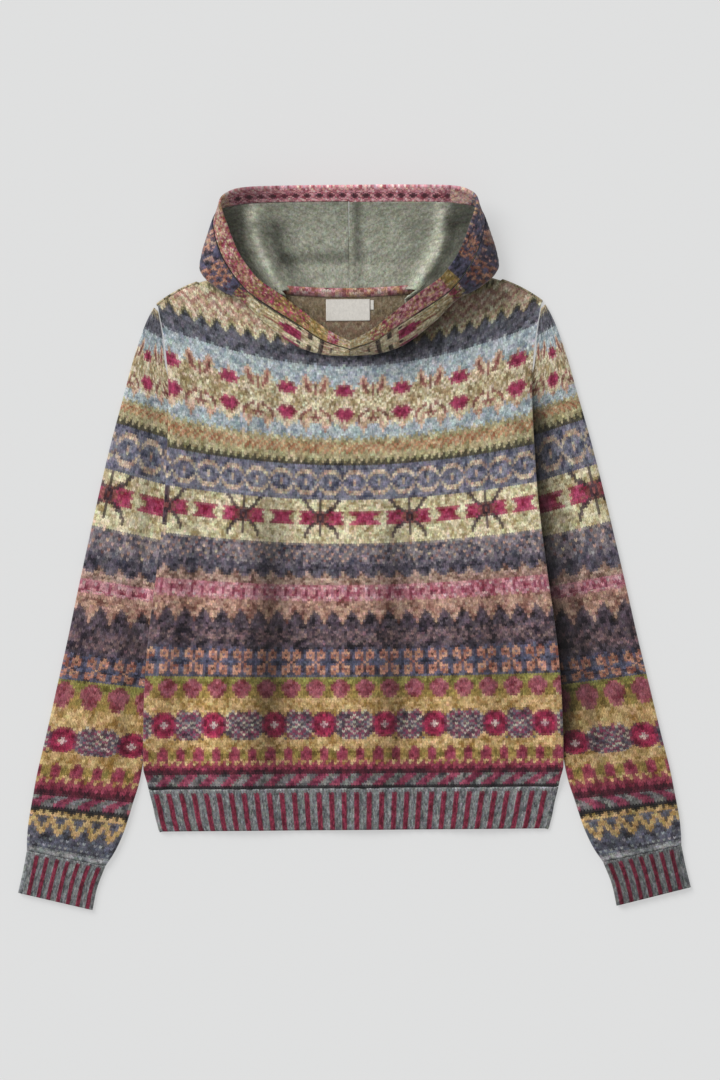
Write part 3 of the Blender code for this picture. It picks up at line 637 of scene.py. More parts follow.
def hood_section(station):
    """The hood wall's middle line at one spoke, from the free edge to the neck seam."""
    last = len(HOOD_SPOKES) - 1
    spoke = Spoke(*(float(spline([s[i] for s in HOOD_SPOKES], station * last))
                    for i in range(len(Spoke._fields))))
    neckline = FRONT_NECK if spoke.neck_angle < 90 else BACK_NECK
    near_shoulder = bump(spoke.neck_angle, NECK_TURN_ANGLE, NECK_TURN_SPREAD)
    neck_x = SHOULDER_INNER * math.sin(math.radians(spoke.neck_angle))
    neck_h = float(top_height(min(neck_x, SHOULDER_INNER), neckline)) + SEAM_CLEAR
    neck_x += NECK_TURN_BACK * near_shoulder
    aim_h = neck_h + NECK_TURN_LIFT * near_shoulder
    k = spoke.turn / math.dist((spoke.side_x, spoke.side_h), (neck_x, aim_h))
    turn_x = mix(spoke.side_x, neck_x, k)
    turn_h = mix(spoke.side_h, aim_h, k)
    knots = [(spoke.edge_x, spoke.edge_h, spoke.edge_z),
             (spoke.side_x, spoke.side_h, spoke.side_z),
             (turn_x, turn_h, float(hood_floor(turn_x, turn_h, spoke.neck_angle))),
             (neck_x, neck_h, float(hood_floor(neck_x, neck_h, spoke.neck_angle)))]
    points = curve_through(knots, SECTION_STEPS)
    low = hood_floor(points[:, 0], points[:, 1], spoke.neck_angle)
    after_side = np.arange(len(points)) > SECTION_STEPS
    points[:, 2] = np.where(after_side, np.maximum(points[:, 2], low), points[:, 2])
    return points


def along(points, distances):
    """Points at distances along a line of points, and the line's length."""
    way = np.concatenate([[0], np.cumsum(np.linalg.norm(np.diff(points, axis=0), axis=1))])
    return np.stack([np.interp(distances, way, points[:, i]) for i in range(3)], axis=-1), way[-1]


def band_width(station):
    narrow = mix(BAND_NARROW, 1.0, smooth(0, BAND_NARROW_REACH, station))
    return BAND_WIDTH * narrow + CROWN_EXTRA * smooth(*CROWN_STATIONS, station)


def even_stations(key_x, key_h, step):
    """Stations a step apart, measured along one of the hood's own lines."""
    fine = np.linspace(0, 1, STATION_STEPS)
    last = len(HOOD_SPOKES) - 1
    x = spline([getattr(s, key_x) for s in HOOD_SPOKES], fine * last)
    h = spline([getattr(s, key_h) for s in HOOD_SPOKES], fine * last)
    way = np.concatenate([[0], np.cumsum(np.hypot(np.diff(x), np.diff(h)))])
    count = int(round(way[-1] / step))
    return np.interp(np.linspace(0, way[-1], count + 1), way, fine)


def hood_points(stations, shares):
    """The hood wall's middle, from the band's seam (0) to the neck seam (1)."""
    rows = []
    for station in stations:
        section = hood_section(station)
        start = float(band_width(station)) + BAND_GAP / 2
        length = along(section, [0])[1]
        rows.append(along(section, mix(start, length, shares))[0])
    points = np.array(rows)
    points[..., 0] = np.maximum(points[..., 0], CENTRE_CLEAR)
    return points


def lining_rise(x, height):
    """The lining's soft side folds, and its climb to the neck seam."""
    x = np.abs(x)
    crest = read(LINING_CREST, "height", "half_width", height)
    fold = RIDGE_HIGH * bump(x, crest, RIDGE_SPREAD)
    fold = fold * smooth(*RIDGE_START, height) * (1 - smooth(*RIDGE_END, height))
    climb = (1 - smooth(*NECK_RISE_HEIGHTS, height)) * (1 - smooth(*NECK_RISE_HALVES, x))
    return fold + NECK_RISE * climb


def lining_face(x, height):
    return HOOD_REST + GAP / 2 + LINING_WALL + 3 * GAP + lining_rise(x, height)


# The lining's cross fold and the ridges of its centre seam, on the hood's back.
CROSS_FOLD_HEIGHT = 702.0
CROSS_FOLD_RISE = 2.2
CROSS_FOLD_BELOW = 8.0
CROSS_FOLD_WIDE = 7.0
CROSS_FOLD_HALVES = (70, 96)
SEAM_RIDGE = 1.6
SEAM_RIDGE_HALF = 4.0
SEAM_RIDGE_WIDE = 2.2
SEAM_RIDGE_FROM = (676, 690)


def lining_creases(x, height):
    across = bump(height, CROSS_FOLD_HEIGHT - CROSS_FOLD_BELOW, CROSS_FOLD_WIDE) * CROSS_FOLD_RISE
    across = across * (1 - smooth(*CROSS_FOLD_HALVES, np.abs(x)))
    seam = SEAM_RIDGE * bump(np.abs(x), SEAM_RIDGE_HALF, SEAM_RIDGE_WIDE)
    return across + seam * smooth(*SEAM_RIDGE_FROM, height)


# How far each side fold draws the lining in over the neck seam, by the neck angle.
FoldFoot = namedtuple("FoldFoot", "inwards down crest_in")
FOLD_FEET = {-1: FoldFoot(24, 27, 0), 1: FoldFoot(35, 33, 4)}
FOOT_ANGLE = 90.0
FOOT_SPREAD = 20.0
FOOT_RISE = 8.0
FOOT_FADE = (676.0, 700.0)
FOOT_FROM = (0.38, 0.47)  # stations from which the side folds stand up
STRIP_LEVEL = 666.5       # the neck seam lies almost straight at this height
STRIP_DROP = 0.75         # the share of the way down to it that the seam sags
NECK_FLAT_ANGLES = (95.0, 120.0)
DRAW_SHARES = (0.5, 1.0)  # shares of the lining's width over which a side fold draws it in
SAG_SHARES = (0.6, 1.0)   # and over which it sags


def neck_drop(height, neck_angle):
    """How far the cloth at the back neck sags below its cut line."""
    sag = STRIP_DROP * np.maximum(height - STRIP_LEVEL, 0)
    return sag * smooth(*NECK_FLAT_ANGLES, neck_angle)


def draw_in(points, stations, shares, foot):
    """Pull the lining's neck edge down straight, and the side fold in across it."""
    neck_angle = spline([s.neck_angle for s in HOOD_SPOKES], stations * (len(HOOD_SPOKES) - 1))
    pull = bump(neck_angle, FOOT_ANGLE, FOOT_SPREAD)[:, None] * smooth(*DRAW_SHARES, shares)
    sag = neck_drop(points[:, -1, 1], neck_angle)[:, None] * smooth(*SAG_SHARES, shares)
    points[..., 0] = np.maximum(points[..., 0] - foot.inwards * pull, CENTRE_CLEAR)
    points[..., 1] -= foot.down * pull + sag
    low = hood_floor(points[..., 0], points[..., 1], neck_angle[:, None])
    points[..., 2] = np.maximum(points[..., 2], low)


def foot_rise(x, height, crest_in):
    """The side fold's height where it runs down over the neck seam."""
    crest = read(LINING_CREST, "height", "half_width", height) - crest_in
    return FOOT_RISE * bump(x, crest, RIDGE_SPREAD) * (1 - smooth(*FOOT_FADE, height))


# The lining's painted shade on each side of the hood's back: how deep it is behind the side
# fold, in the fold's lee, over the cross fold and beside the seam, and how much painted light lies
# on its crest.
PaintedLiningShade = namedtuple("PaintedLiningShade", "hollow lee lee_in lee_wide fold crest seam")
LINING_PAINTED_SHADES = {-1: PaintedLiningShade(0.55, 0.7, 24, 16, 0.5, 0.4, 0.08),
                 1: PaintedLiningShade(0.56, 0.22, 26, 14, 0.2, 0.42, 0.52)}
HOLLOW_FROM = (8, 19)                 # how far out past the crest the hollow begins
CREST_LIGHT_WIDE = 7
LEE_CROWN = (748, 768)                # heights where the lee fades at the crown
LEE_CROWN_SHARE = 0.8
LEE_NECK = (686, 704)                 # and where it is weaker towards the neck
LEE_NECK_SHARE = 0.6
OVER_FOLD = (8, 9)                    # how far above the cross fold its shade lies, how wide
OVER_FOLD_HALVES = (78, 100)
SEAM_SHADE = (11, 6)                  # how far from the middle the seam's shade lies, how wide
SEAM_SHADE_HEIGHTS = (698, 710)
SEAM_SHADE_LOW = 0.45


def lining_painted_shade(x, height, way):
    """Painted shade behind the side folds, in their lee, over the cross fold and beside the seam,
    and painted light on the folds' crests.
    """
    painted_shades = LINING_PAINTED_SHADES[way]
    x = np.abs(x)
    crest = read(LINING_CREST, "height", "half_width", height) - FOLD_FEET[way].crest_in
    hollow = painted_shades.hollow * smooth(*HOLLOW_FROM, x - crest)
    lee = painted_shades.lee * bump(x, crest - painted_shades.lee_in, painted_shades.lee_wide)
    lee = lee * (1 - LEE_CROWN_SHARE * smooth(*LEE_CROWN, height))
    lee = lee * mix(LEE_NECK_SHARE, 1.0, smooth(*LEE_NECK, height))
    over = painted_shades.fold * bump(height, CROSS_FOLD_HEIGHT + OVER_FOLD[0], OVER_FOLD[1])
    over = over * (1 - smooth(*OVER_FOLD_HALVES, x))
    top = painted_shades.crest * bump(x, crest, CREST_LIGHT_WIDE)
    seam = painted_shades.seam * bump(x, *SEAM_SHADE)
    seam = seam * mix(SEAM_SHADE_LOW, 1.0, smooth(*SEAM_SHADE_HEIGHTS, height))
    return (1 - hollow) * (1 - lee) * (1 - over) * (1 + top) * (1 - seam)


# ---- yarn colours ----
def linear(hex_colour):
    value = np.array([int(hex_colour[i:i + 2], 16) for i in (0, 2, 4)]) / 255
    return np.where(value <= 0.04045, value / 12.92, ((value + 0.055) / 1.055) ** 2.4)


LETTERS = "".join(YARNS)
DARK = np.array([linear(YARNS[c].dark) for c in LETTERS]) * YARN_GAIN
LIGHT = np.array([linear(YARNS[c].light) for c in LETTERS]) * YARN_GAIN
HEATHER_OWN = 0.34        # how far one stitch's yarn strays from its heather's middle
HEATHER_DRIFT = 0.3       # and how far a few neighbours stray together
HEATHER_LIMITS = (-0.25, 1.3)
HEATHER_TINT = 0.055      # how far its red, green and blue stray
DEEPEST = 0.45            # the darkest fibre, as a share of a heather's dark yarn


def dye_and_painted_shade(letters, shade=1.0, lively=1.0):
    """The colour of each stitch: a heather yarn is nowhere the same twice. The shade given is
    painted shade and painted light, multiplied into that colour.
    """
    index = np.array([[LETTERS.index(c) for c in row] for row in letters])
    own = chance.normal(0, 1, index.shape)
    drift = chance.normal(0, 1, (index.shape[0] + 1, index.shape[1] + 1))
    drift = (drift[1:, 1:] + drift[:-1, 1:] + drift[1:, :-1] + drift[:-1, :-1]) / 2
    stray = lively * (HEATHER_OWN * own + HEATHER_DRIFT * drift)
    t = np.clip(0.5 + stray, *HEATHER_LIMITS)[..., None]
    tint = 1 + chance.normal(0, HEATHER_TINT, index.shape + (3,))
    colour = np.maximum(mix(DARK[index], LIGHT[index], t), DARK[index] * DEEPEST)
    return colour * tint * np.asarray(shade)[..., None]


def chart_columns(one, repeat, columns):
    """The column of a chart that each column of a panel shows."""
    if not one.spots:
        return columns - one.centre
    near = one.spots.index(min(one.spots, key=abs))    # the spot beside the panel's middle
    return np.interp(columns, one.spots, (np.arange(len(one.spots)) - near) * repeat)


def chart_rows(charts, width, centre):
    """Letters for every row of a panel, bottom row first, repeated over its width."""
    rows = []
    for one in charts:
        for line in one.rows:
            if one.mirrored:
                line = line + line[-2:0:-1]
            columns = chart_columns(one, len(line), np.arange(width) - centre)
            rows.append("".join(line[i % len(line)] for i in np.rint(columns).astype(int)))
    return rows[::-1]


def below(colours):
    """The colour of the stitch under each one, whose tips show between its legs."""
    return np.concatenate([colours[:1], colours[:-1]])


FUZZ = 0.36               # how much of a stitch's yarn its neighbours' fibres hide
MERGE_WITHIN = 0.02


def blend_corners(colours):
    """The mean colour of the stitches round each corner of the grid."""
    wide = np.pad(colours, ((1, 1), (1, 1), (0, 0)), mode="edge")
    return (wide[:-1, :-1] + wide[1:, :-1] + wide[:-1, 1:] + wide[1:, 1:]) / 4


# ---- making cloth from a grid ----
def cloth(name, points, stitches, colours, wall, offset=-1.0, flip=False, shares=None,
          inner=None, finish=None):
    """A grid of faces put on points, with the place of each corner in stitches and the
    yarn of each face, and a wall grown by Solidify. Shares thin the wall, point by point."""
    rows, columns = points.shape[0] - 1, points.shape[1] - 1
    bpy.ops.object.select_all(action="DESELECT")
    bpy.ops.mesh.primitive_grid_add(x_subdivisions=columns, y_subdivisions=rows, size=2)
    piece = bpy.context.object
    piece.name = name + "_cloth"
    mesh = piece.data
    mesh.name = name
    spot = np.empty(len(mesh.vertices) * 3, np.float32)
    mesh.vertices.foreach_get("co", spot)
    spot = spot.reshape(-1, 3)
    column = np.rint((spot[:, 0] + 1) / 2 * columns).astype(int)
    row = np.rint((spot[:, 1] + 1) / 2 * rows).astype(int)
    if flip:
        column = columns - column
    mesh.vertices.foreach_set("co", place(points[row, column]).astype(np.float32).ravel())
    corner = np.empty(len(mesh.loops), np.int32)
    mesh.loops.foreach_get("vertex_index", corner)
    uv = mesh.uv_layers[0]
    uv.name = "stitches"
    uv.data.foreach_set("uv", stitches[row[corner], column[corner]].astype(np.float32).ravel())
    face_row = row[corner].reshape(-1, 4).min(axis=1)
    face_column = column[corner].reshape(-1, 4).min(axis=1)
    for label, colour in (("yarn", colours), ("yarn_below", below(colours))):
        layer = mesh.attributes.new(label, "FLOAT_COLOR", "CORNER")
        rgba = np.ones((len(corner), 4), np.float32)
        rgba[:, :3] = mix(np.repeat(colour[face_row, face_column], 4, axis=0),
                          blend_corners(colour)[row[corner], column[corner]], FUZZ)
        layer.data.foreach_set("color", rgba.ravel())
    solid = piece.modifiers.new("Wall", "SOLIDIFY")
    solid.thickness = wall * MM
    solid.offset = offset
    if shares is not None:
        group = piece.vertex_groups.new(name="wall share")
        solid.vertex_group = group.name
        value = np.round(shares[row, column], 2)
        for level in np.unique(value):
            group.add(np.nonzero(value == level)[0].tolist(), float(level), "REPLACE")
    tidy = bmesh.new()
    tidy.from_mesh(mesh)
    bmesh.ops.remove_doubles(tidy, verts=tidy.verts, dist=MERGE_WITHIN * MM)
    loose = [e for e in tidy.edges if not e.link_faces]
    bmesh.ops.delete(tidy, geom=loose, context="EDGES")
    bmesh.ops.delete(tidy, geom=[v for v in tidy.verts if not v.link_faces], context="VERTS")
    tidy.to_mesh(mesh)
    tidy.free()
    mesh.materials.append(finish)
    if inner:
        mesh.materials.append(inner)
        solid.material_offset = 1
    bpy.ops.object.modifier_apply(modifier=solid.name)
    bpy.ops.object.shade_smooth()
    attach(piece, "root")
    return piece


def flat_area(piece):
    """Area of one side of a walled sheet."""
    return sum(p.area for p in piece.data.polygons) / 2


# ---- shader groups ----
def shader_group(name, inputs, outputs):
    tree = bpy.data.node_groups.new(name, "ShaderNodeTree")
    for label, kind, value in inputs:
        socket = tree.interface.new_socket(label, in_out="INPUT", socket_type=kind)
        if value is not None:
            socket.default_value = value
    for label, kind in outputs:
        tree.interface.new_socket(label, in_out="OUTPUT", socket_type=kind)
    return tree, tree.nodes.new("NodeGroupInput"), tree.nodes.new("NodeGroupOutput")


def feed(tree, socket, value):
    if isinstance(value, bpy.types.NodeSocket):
        tree.links.new(value, socket)
    else:
        socket.default_value = value


def maths(tree, operation, *values):
    node = tree.nodes.new("ShaderNodeMath")
    node.operation = operation
    for socket, value in zip(node.inputs, values):
        feed(tree, socket, value)
    return node.outputs[0]


def weighted(tree, a, a_share, b, b_share):
    """The sum of two values, each times its share."""
    return maths(tree, "ADD", maths(tree, "MULTIPLY", a, a_share),
                 maths(tree, "MULTIPLY", b, b_share))


def there_and_back(tree, value):
    """From 1 down to 0 and up to 1 again within each whole step of a value."""
    twice = maths(tree, "MULTIPLY", maths(tree, "FRACT", value), 2.0)
    return maths(tree, "ABSOLUTE", maths(tree, "SUBTRACT", twice, 1.0))


def ramp_between(tree, value, low, high, start=0.0, end=1.0):
    node = tree.nodes.new("ShaderNodeMapRange")
    node.interpolation_type = "SMOOTHSTEP"
    limits = {"From Min": low, "From Max": high, "To Min": start, "To Max": end}
    for label, number in limits.items():
        node.inputs[label].default_value = number
    feed(tree, node.inputs["Value"], value)
    return node.outputs["Result"]


COLOUR_A, COLOUR_B, COLOUR_RESULT = 6, 7, 2   # a Mix node's sockets for colours


def blend_colour(tree, kind, factor, a, b):
    node = tree.nodes.new("ShaderNodeMix")
    node.data_type = "RGBA"
    node.blend_type = kind
    feed(tree, node.inputs["Factor"], factor)
    feed(tree, node.inputs[COLOUR_A], a)
    feed(tree, node.inputs[COLOUR_B], b)
    return node.outputs[COLOUR_RESULT]


def lit_colour(tree, colour, light):
    """A colour times a value."""
    grey = tree.nodes.new("ShaderNodeCombineColor")
    for socket in grey.inputs[:3]:
        tree.links.new(light, socket)
    return blend_colour(tree, "MULTIPLY", 1.0, colour, grey.outputs[0])


def noise(tree, vector, scale, detail, rough=0.6):
    node = tree.nodes.new("ShaderNodeTexNoise")
    node.inputs["Scale"].default_value = scale
    node.inputs["Detail"].default_value = detail
    node.inputs["Roughness"].default_value = rough
    feed(tree, node.inputs["Vector"], vector)
    return node.outputs["Fac"]


LEG_SLOPE = 0.55          # how far a stitch's legs rise towards its sides, in rows
LEG_LOWEST = 0.02
LEG_BLEND = 0.12          # how softly one row's legs end on the next row's
LEG_ROUND = 0.6           # how full a leg is across
LEG_BULGE = 2.5           # and how full it is along its way
BULGE_SHARE = 0.45
WANDER_SCALE = 420.0      # the legs wander a little, as in brushed wool
WANDER_ACROSS = 0.35
WANDER_UP = 0.4


def stitch_group():
    """The V of a plain knit stitch: which yarn shows, and how high the yarn stands."""
    tree, given, result = shader_group(
        "knit stitch",
        [("Stitches", "NodeSocketVector", None), ("Place", "NodeSocketVector", None)],
        [("Upper", "NodeSocketFloat"), ("Height", "NodeSocketFloat")])
    split = tree.nodes.new("ShaderNodeSeparateXYZ")
    tree.links.new(given.outputs["Stitches"], split.inputs[0])
    wander = maths(tree, "SUBTRACT", noise(tree, given.outputs["Place"], WANDER_SCALE, 1.0), 0.5)
    u = maths(tree, "ADD", split.outputs["X"], maths(tree, "MULTIPLY", wander, WANDER_ACROSS))
    side = there_and_back(tree, u)
    rise = weighted(tree, side, LEG_SLOPE, wander, WANDER_UP)
    rise = maths(tree, "MAXIMUM", rise, LEG_LOWEST)
    over = maths(tree, "SUBTRACT", maths(tree, "FRACT", split.outputs["Y"]), rise)
    upper = ramp_between(tree, over, -LEG_BLEND, LEG_BLEND)
    leg = maths(tree, "SINE", maths(tree, "MULTIPLY", side, math.pi))
    leg = maths(tree, "POWER", maths(tree, "MAXIMUM", leg, 0.0), LEG_ROUND)
    bulge = there_and_back(tree, maths(tree, "ADD", over, 1.0))
    bulge = maths(tree, "SUBTRACT", 1.0, maths(tree, "POWER", bulge, LEG_BULGE))
    bulge = maths(tree, "ADD", maths(tree, "MULTIPLY", bulge, BULGE_SHARE), 1 - BULGE_SHARE)
    tree.links.new(upper, result.inputs["Upper"])
    tree.links.new(maths(tree, "MULTIPLY", leg, bulge), result.inputs["Height"])
    return tree


FINE_FIBRES = 1100.0
COARSE_FIBRES = 460.0
FINE_SHARE = 0.45
FIBRE_STRETCH = (1.0, 0.5, 1.0)
MOTTLE_RANGE = (0.34, 0.66)
MOTTLE_LIGHT = (0.5, 1.5)


def fibre_group():
    """Loose woollen fibres: a fine mottle over the yarn's colour, and their relief."""
    tree, given, result = shader_group(
        "woollen fibres",
        [("Colour", "NodeSocketColor", None), ("Place", "NodeSocketVector", None),
         ("Amount", "NodeSocketFloat", 0.5)],
        [("Colour", "NodeSocketColor"), ("Height", "NodeSocketFloat")])
    stretch = tree.nodes.new("ShaderNodeVectorMath")
    stretch.operation = "MULTIPLY"
    stretch.inputs[1].default_value = FIBRE_STRETCH
    tree.links.new(given.outputs["Place"], stretch.inputs[0])
    fine = noise(tree, stretch.outputs[0], FINE_FIBRES, 2.0, 0.7)
    coarse = noise(tree, stretch.outputs[0], COARSE_FIBRES, 2.0)
    mottle = weighted(tree, fine, FINE_SHARE, coarse, 1 - FINE_SHARE)
    light = ramp_between(tree, mottle, *MOTTLE_RANGE, *MOTTLE_LIGHT)
    stray = maths(tree, "MULTIPLY", maths(tree, "SUBTRACT", light, 1.0), given.outputs["Amount"])
    light = maths(tree, "ADD", 1.0, stray)
    tree.links.new(lit_colour(tree, given.outputs["Colour"], light), result.inputs["Colour"])
    tree.links.new(mottle, result.inputs["Height"])
    return tree


STITCH_GROUP = stitch_group()
FIBRE_GROUP = fibre_group()
# Each finish sets how far painted shade darkens the grooves between stitches.
Finish = namedtuple("Finish", "roughness sheen fibres groove relief depth")
KNIT_FINISH = Finish(roughness=0.95, sheen=0.25, fibres=0.75, groove=0.35, relief=0.55, depth=1.1)
LINING_FINISH = Finish(roughness=0.97, sheen=0.2, fibres=0.55, groove=0.18, relief=0.35,
                       depth=0.6)
TAPE_FINISH = Finish(roughness=0.6, sheen=0.15, fibres=0.15, groove=0.14, relief=0.3, depth=0.2)
PAINTED_GROOVE_HEIGHTS = (0.1, 0.8)           # yarn heights between which a stitch's groove lies, painted darker
STITCH_RELIEF = 0.7
FIBRE_RELIEF = 0.6
THREAD_SCALE = 380.0
THREAD_WANDER = 0.6


def use_group(tree, group, **values):
    node = tree.nodes.new("ShaderNodeGroup")
    node.node_tree = group
    for label, value in values.items():
        feed(tree, node.inputs[label], value)
    return node


def new_material(name, settings):
    """A material whose shader has these settings on its own sockets."""
    material = bpy.data.materials.new(name)
    material.use_nodes = True
    shader = material.node_tree.nodes["Principled BSDF"]
    for label, value in settings.items():
        shader.inputs[label].default_value = value
    return material, material.node_tree, shader


def dress_shader(tree, shader, colour, height, finish):
    """Lead a colour and a height over the surface into the shader."""
    tree.links.new(colour, shader.inputs["Base Color"])
    relief = tree.nodes.new("ShaderNodeBump")
    relief.inputs["Strength"].default_value = finish.relief
    relief.inputs["Distance"].default_value = finish.depth * MM
    tree.links.new(height, relief.inputs["Height"])
    tree.links.new(relief.outputs["Normal"], shader.inputs["Normal"])


def corner_colour(tree, name):
    node = tree.nodes.new("ShaderNodeAttribute")
    node.attribute_name = name
    return node.outputs["Color"]


def knit_material(name, finish, tint=None, tint_share=0.0):
    """Knitted wool in the mesh's own yarn colours, or mostly in one tint."""
    material, tree, shader = new_material(name, {
        "Roughness": finish.roughness, "Sheen Weight": finish.sheen, "Sheen Roughness": 0.5,
        "Specular IOR Level": 0.2})
    where = tree.nodes.new("ShaderNodeTexCoord").outputs["Object"]
    uv = tree.nodes.new("ShaderNodeUVMap")
    uv.uv_map = "stitches"
    stitch = use_group(tree, STITCH_GROUP, Stitches=uv.outputs["UV"], Place=where)
    colour = blend_colour(tree, "MIX", stitch.outputs["Upper"],
                          corner_colour(tree, "yarn_below"), corner_colour(tree, "yarn"))
    if tint:
        colour = blend_colour(tree, "MIX", tint_share, colour, tint)
    fibres = use_group(tree, FIBRE_GROUP, Colour=colour, Place=where, Amount=finish.fibres)
    # painted shade: the colour is darkened where the yarn lies low, between the stitches' legs
    groove = ramp_between(tree, stitch.outputs["Height"], *PAINTED_GROOVE_HEIGHTS, 1 - finish.groove)
    height = weighted(tree, stitch.outputs["Height"], STITCH_RELIEF,
                      fibres.outputs["Height"], FIBRE_RELIEF)
    colour = lit_colour(tree, fibres.outputs["Colour"], groove)
    dress_shader(tree, shader, colour, height, finish)
    return material


def woven_material(name, colour, finish):
    """Smooth woven tape with a fine thread grid."""
    material, tree, shader = new_material(name, {
        "Roughness": finish.roughness, "Sheen Weight": finish.sheen})
    where = tree.nodes.new("ShaderNodeTexCoord").outputs["Object"]
    threads = []
    for way in ("X", "Y"):
        wave = tree.nodes.new("ShaderNodeTexWave")
        wave.bands_direction = way
        wave.inputs["Scale"].default_value = THREAD_SCALE
        wave.inputs["Distortion"].default_value = THREAD_WANDER
        tree.links.new(where, wave.inputs["Vector"])
        threads.append(wave.outputs["Fac"])
    weave = maths(tree, "MAXIMUM", *threads)
    fibres = use_group(tree, FIBRE_GROUP, Colour=colour, Place=where, Amount=finish.fibres)
    # painted shade between the threads of the weave
    shade = ramp_between(tree, weave, 0.0, 1.0, 1 - finish.groove)
    dress_shader(tree, shader, lit_colour(tree, fibres.outputs["Colour"], shade), weave, finish)
    return material


TAUPE = (*linear("705e4a"), 1)
TAUPE_SHARE = 0.8         # the rest is the yarn of the right side, showing through
LABEL_WHITE = (*linear("e4e0d8"), 1)
PATTERNED_KNIT = knit_material("patterned knit", KNIT_FINISH)
WRONG_SIDE = knit_material("wrong side of the knit", KNIT_FINISH, TAUPE, TAUPE_SHARE)
HOOD_KNIT = knit_material("hood knit", KNIT_FINISH)
ROSE_KNIT = knit_material("rose knit", KNIT_FINISH)
STRIPED_RIB = knit_material("striped rib", KNIT_FINISH)
LINING_KNIT = knit_material("lining jersey", LINING_FINISH)
WOVEN_LABEL = woven_material("woven label", LABEL_WHITE, TAPE_FINISH)


# ---- the pieces ----
def stitch_columns(places, width):
    """The stitch in which each column of faces lies."""
    middles = (places[:-1] + places[1:]) / 2
    return np.clip(np.floor(middles).astype(int), 0, width - 1)


def make_panel(name, side, neckline, creases, painted_shades):
    points, stitches = panel_points(side, neckline, creases)
    width = 2 * BODY_HALF_STITCHES
    letters = chart_rows(BODY_CHARTS, width, BODY_HALF_STITCHES)[:BODY_ROWS]
    column = stitch_columns(stitch_places(width), width)
    middles = face_middles(points)
    # painted shade and painted light from the table, multiplied into the yarn colours
    shade = 1 + crease_rise(painted_shades, middles[..., 0], middles[..., 1])
    piece = cloth(name, points, stitches, dye_and_painted_shade(letters)[:, column] * shade[..., None], WALL,
                  flip=side < 0, inner=WRONG_SIDE, finish=PATTERNED_KNIT)
    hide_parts(name)
    flat_area(piece)


def make_sleeve(word, way):
    points, stitches, rows = sleeve_points()
    points[..., 0] *= way
    width = 2 * SLEEVE_STITCHES
    upper_middle = SLEEVE_STITCHES + SLEEVE_STITCHES // 2
    letters = chart_rows(BODY_CHARTS + [STRAW_ZIGZAG], width, upper_middle)[:len(rows) - 1]
    places = stitch_places(SLEEVE_STITCHES)
    column = stitch_columns(np.concatenate([places, width - places[::-1]]), width)
    # painted shade and light, multiplied into the sleeve's yarn colours
    shade = sleeve_painted_shade(face_middles(points), way)
    piece = cloth(word + "_sleeve", points, stitches, dye_and_painted_shade(letters)[:, column] * shade[..., None],
                  WALL, flip=way > 0, inner=WRONG_SIDE, finish=PATTERNED_KNIT)
    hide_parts(word + "_sleeve")
    flat_area(piece)


RIB_STEPS = 12            # columns of faces to a rib
RIB_STITCHES = 4
RIB_SIDES = (0.25, 0.75)
RED_FROM = 0.3            # how high on a rib its red begins
LAST_ROWS = "iJ"          # one row in rib grey and one in silver
RingSpot = namedtuple("RingSpot", "side share wall red")


def make_ribbed_band(name, ribs, rows, ring_point, flip, shade=1.0):
    """A tube with a plain inner ring, and ribs grown outwards on its upper side."""
    profile = (np.arange(RIB_STEPS) + 0.5) / RIB_STEPS
    crest = smooth(*RIB_SIDES, 0.5 + 0.5 * np.cos(2 * np.pi * (profile - 0.25)))
    plain = WALL / RIB_WALL
    over = [RingSpot("over", (rib + p) / ribs, mix(RIB_FURROW_SHARE, 1.0, c), c > RED_FROM)
            for rib in range(ribs) for p, c in zip(profile, crest)]
    over = [RingSpot("over", 0.0, plain, False)] + over + [RingSpot("over", 1.0, plain, False)]
    under = [RingSpot("under", spot.share, plain, spot.red) for spot in over]
    around = under + [RingSpot("outer", 1.0, plain, False)] + over[::-1]
    around += [RingSpot("inner", 0.0, plain, False)] + under[:1]
    points = np.array([[ring_point(spot.side, spot.share, row / rows) for spot in around]
                       for row in range(rows + 1)])
    shares = np.array([[spot.wall for spot in around]] * (rows + 1))
    across = np.cumsum([0] + [RIB_STITCHES / RIB_STEPS] * (len(around) - 1))
    body = "".join("I" if a.red and b.red else "i" for a, b in zip(around, around[1:]))
    letters = [body] * (rows - len(LAST_ROWS)) + [c * len(body) for c in LAST_ROWS]
    piece = cloth(name, points, in_stitches(across, np.arange(rows + 1)), dye_and_painted_shade(letters, shade),
                  RIB_WALL, offset=1.0, flip=flip, shares=shares, finish=STRIPED_RIB)
    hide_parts(name)


def hem_ring_point(side, share, t):
    height = t * (HEM_BAND_TOP - GAP / 2)
    half = float(body_half_width(height))
    if side in ("outer", "inner"):
        x = (half - WALL) * (1 if side == "outer" else -1)
        return x, height, float(body_bottom(x, height) + body_thick(x, height) / 2)
    x = mix(-1, 1, share) * (half - WALL - RIB_INSET)
    if side == "under":
        return x, height, float(body_bottom(x, height)) + WALL
    return x, height, float(body_top(x, height)) - RIB_WALL + RIB_CREST


def cuff_ring_point(side, share, t):
    inner, outer = [(float(row_value(CUFF_ROWS, t, edge + "_half")),
                     float(row_value(CUFF_ROWS, t, edge + "_height"))) for edge in ("in", "out")]
    inset = WALL / math.dist(inner, outer)
    if side in ("under", "over"):
        inset = (WALL + RIB_INSET) / math.dist(inner, outer)
    across = mix(inset, 1 - inset, share)
    z = {"under": WALL, "over": SLEEVE_THICK - RIB_WALL + RIB_CREST}.get(side, SLEEVE_THICK / 2)
    return mix(inner[0], outer[0], across), mix(inner[1], outer[1], across), z


# Painted shade: the right cuff's colours are darkened, the left's are left as they are.
CUFF_PAINTED_SHADES = {-1: 1.0, 1: 0.68}
HEM_ROWS = 18
CUFF_KNIT_ROWS = 20


def make_cuff(word, way):
    def ring_point(side, share, t):
        x, height, z = cuff_ring_point(side, share, 1 - t)
        return way * x, height, z

    make_ribbed_band(word + "_cuff", CUFF_RIBS, CUFF_KNIT_ROWS, ring_point, flip=way > 0,
                     shade=CUFF_PAINTED_SHADES[way])


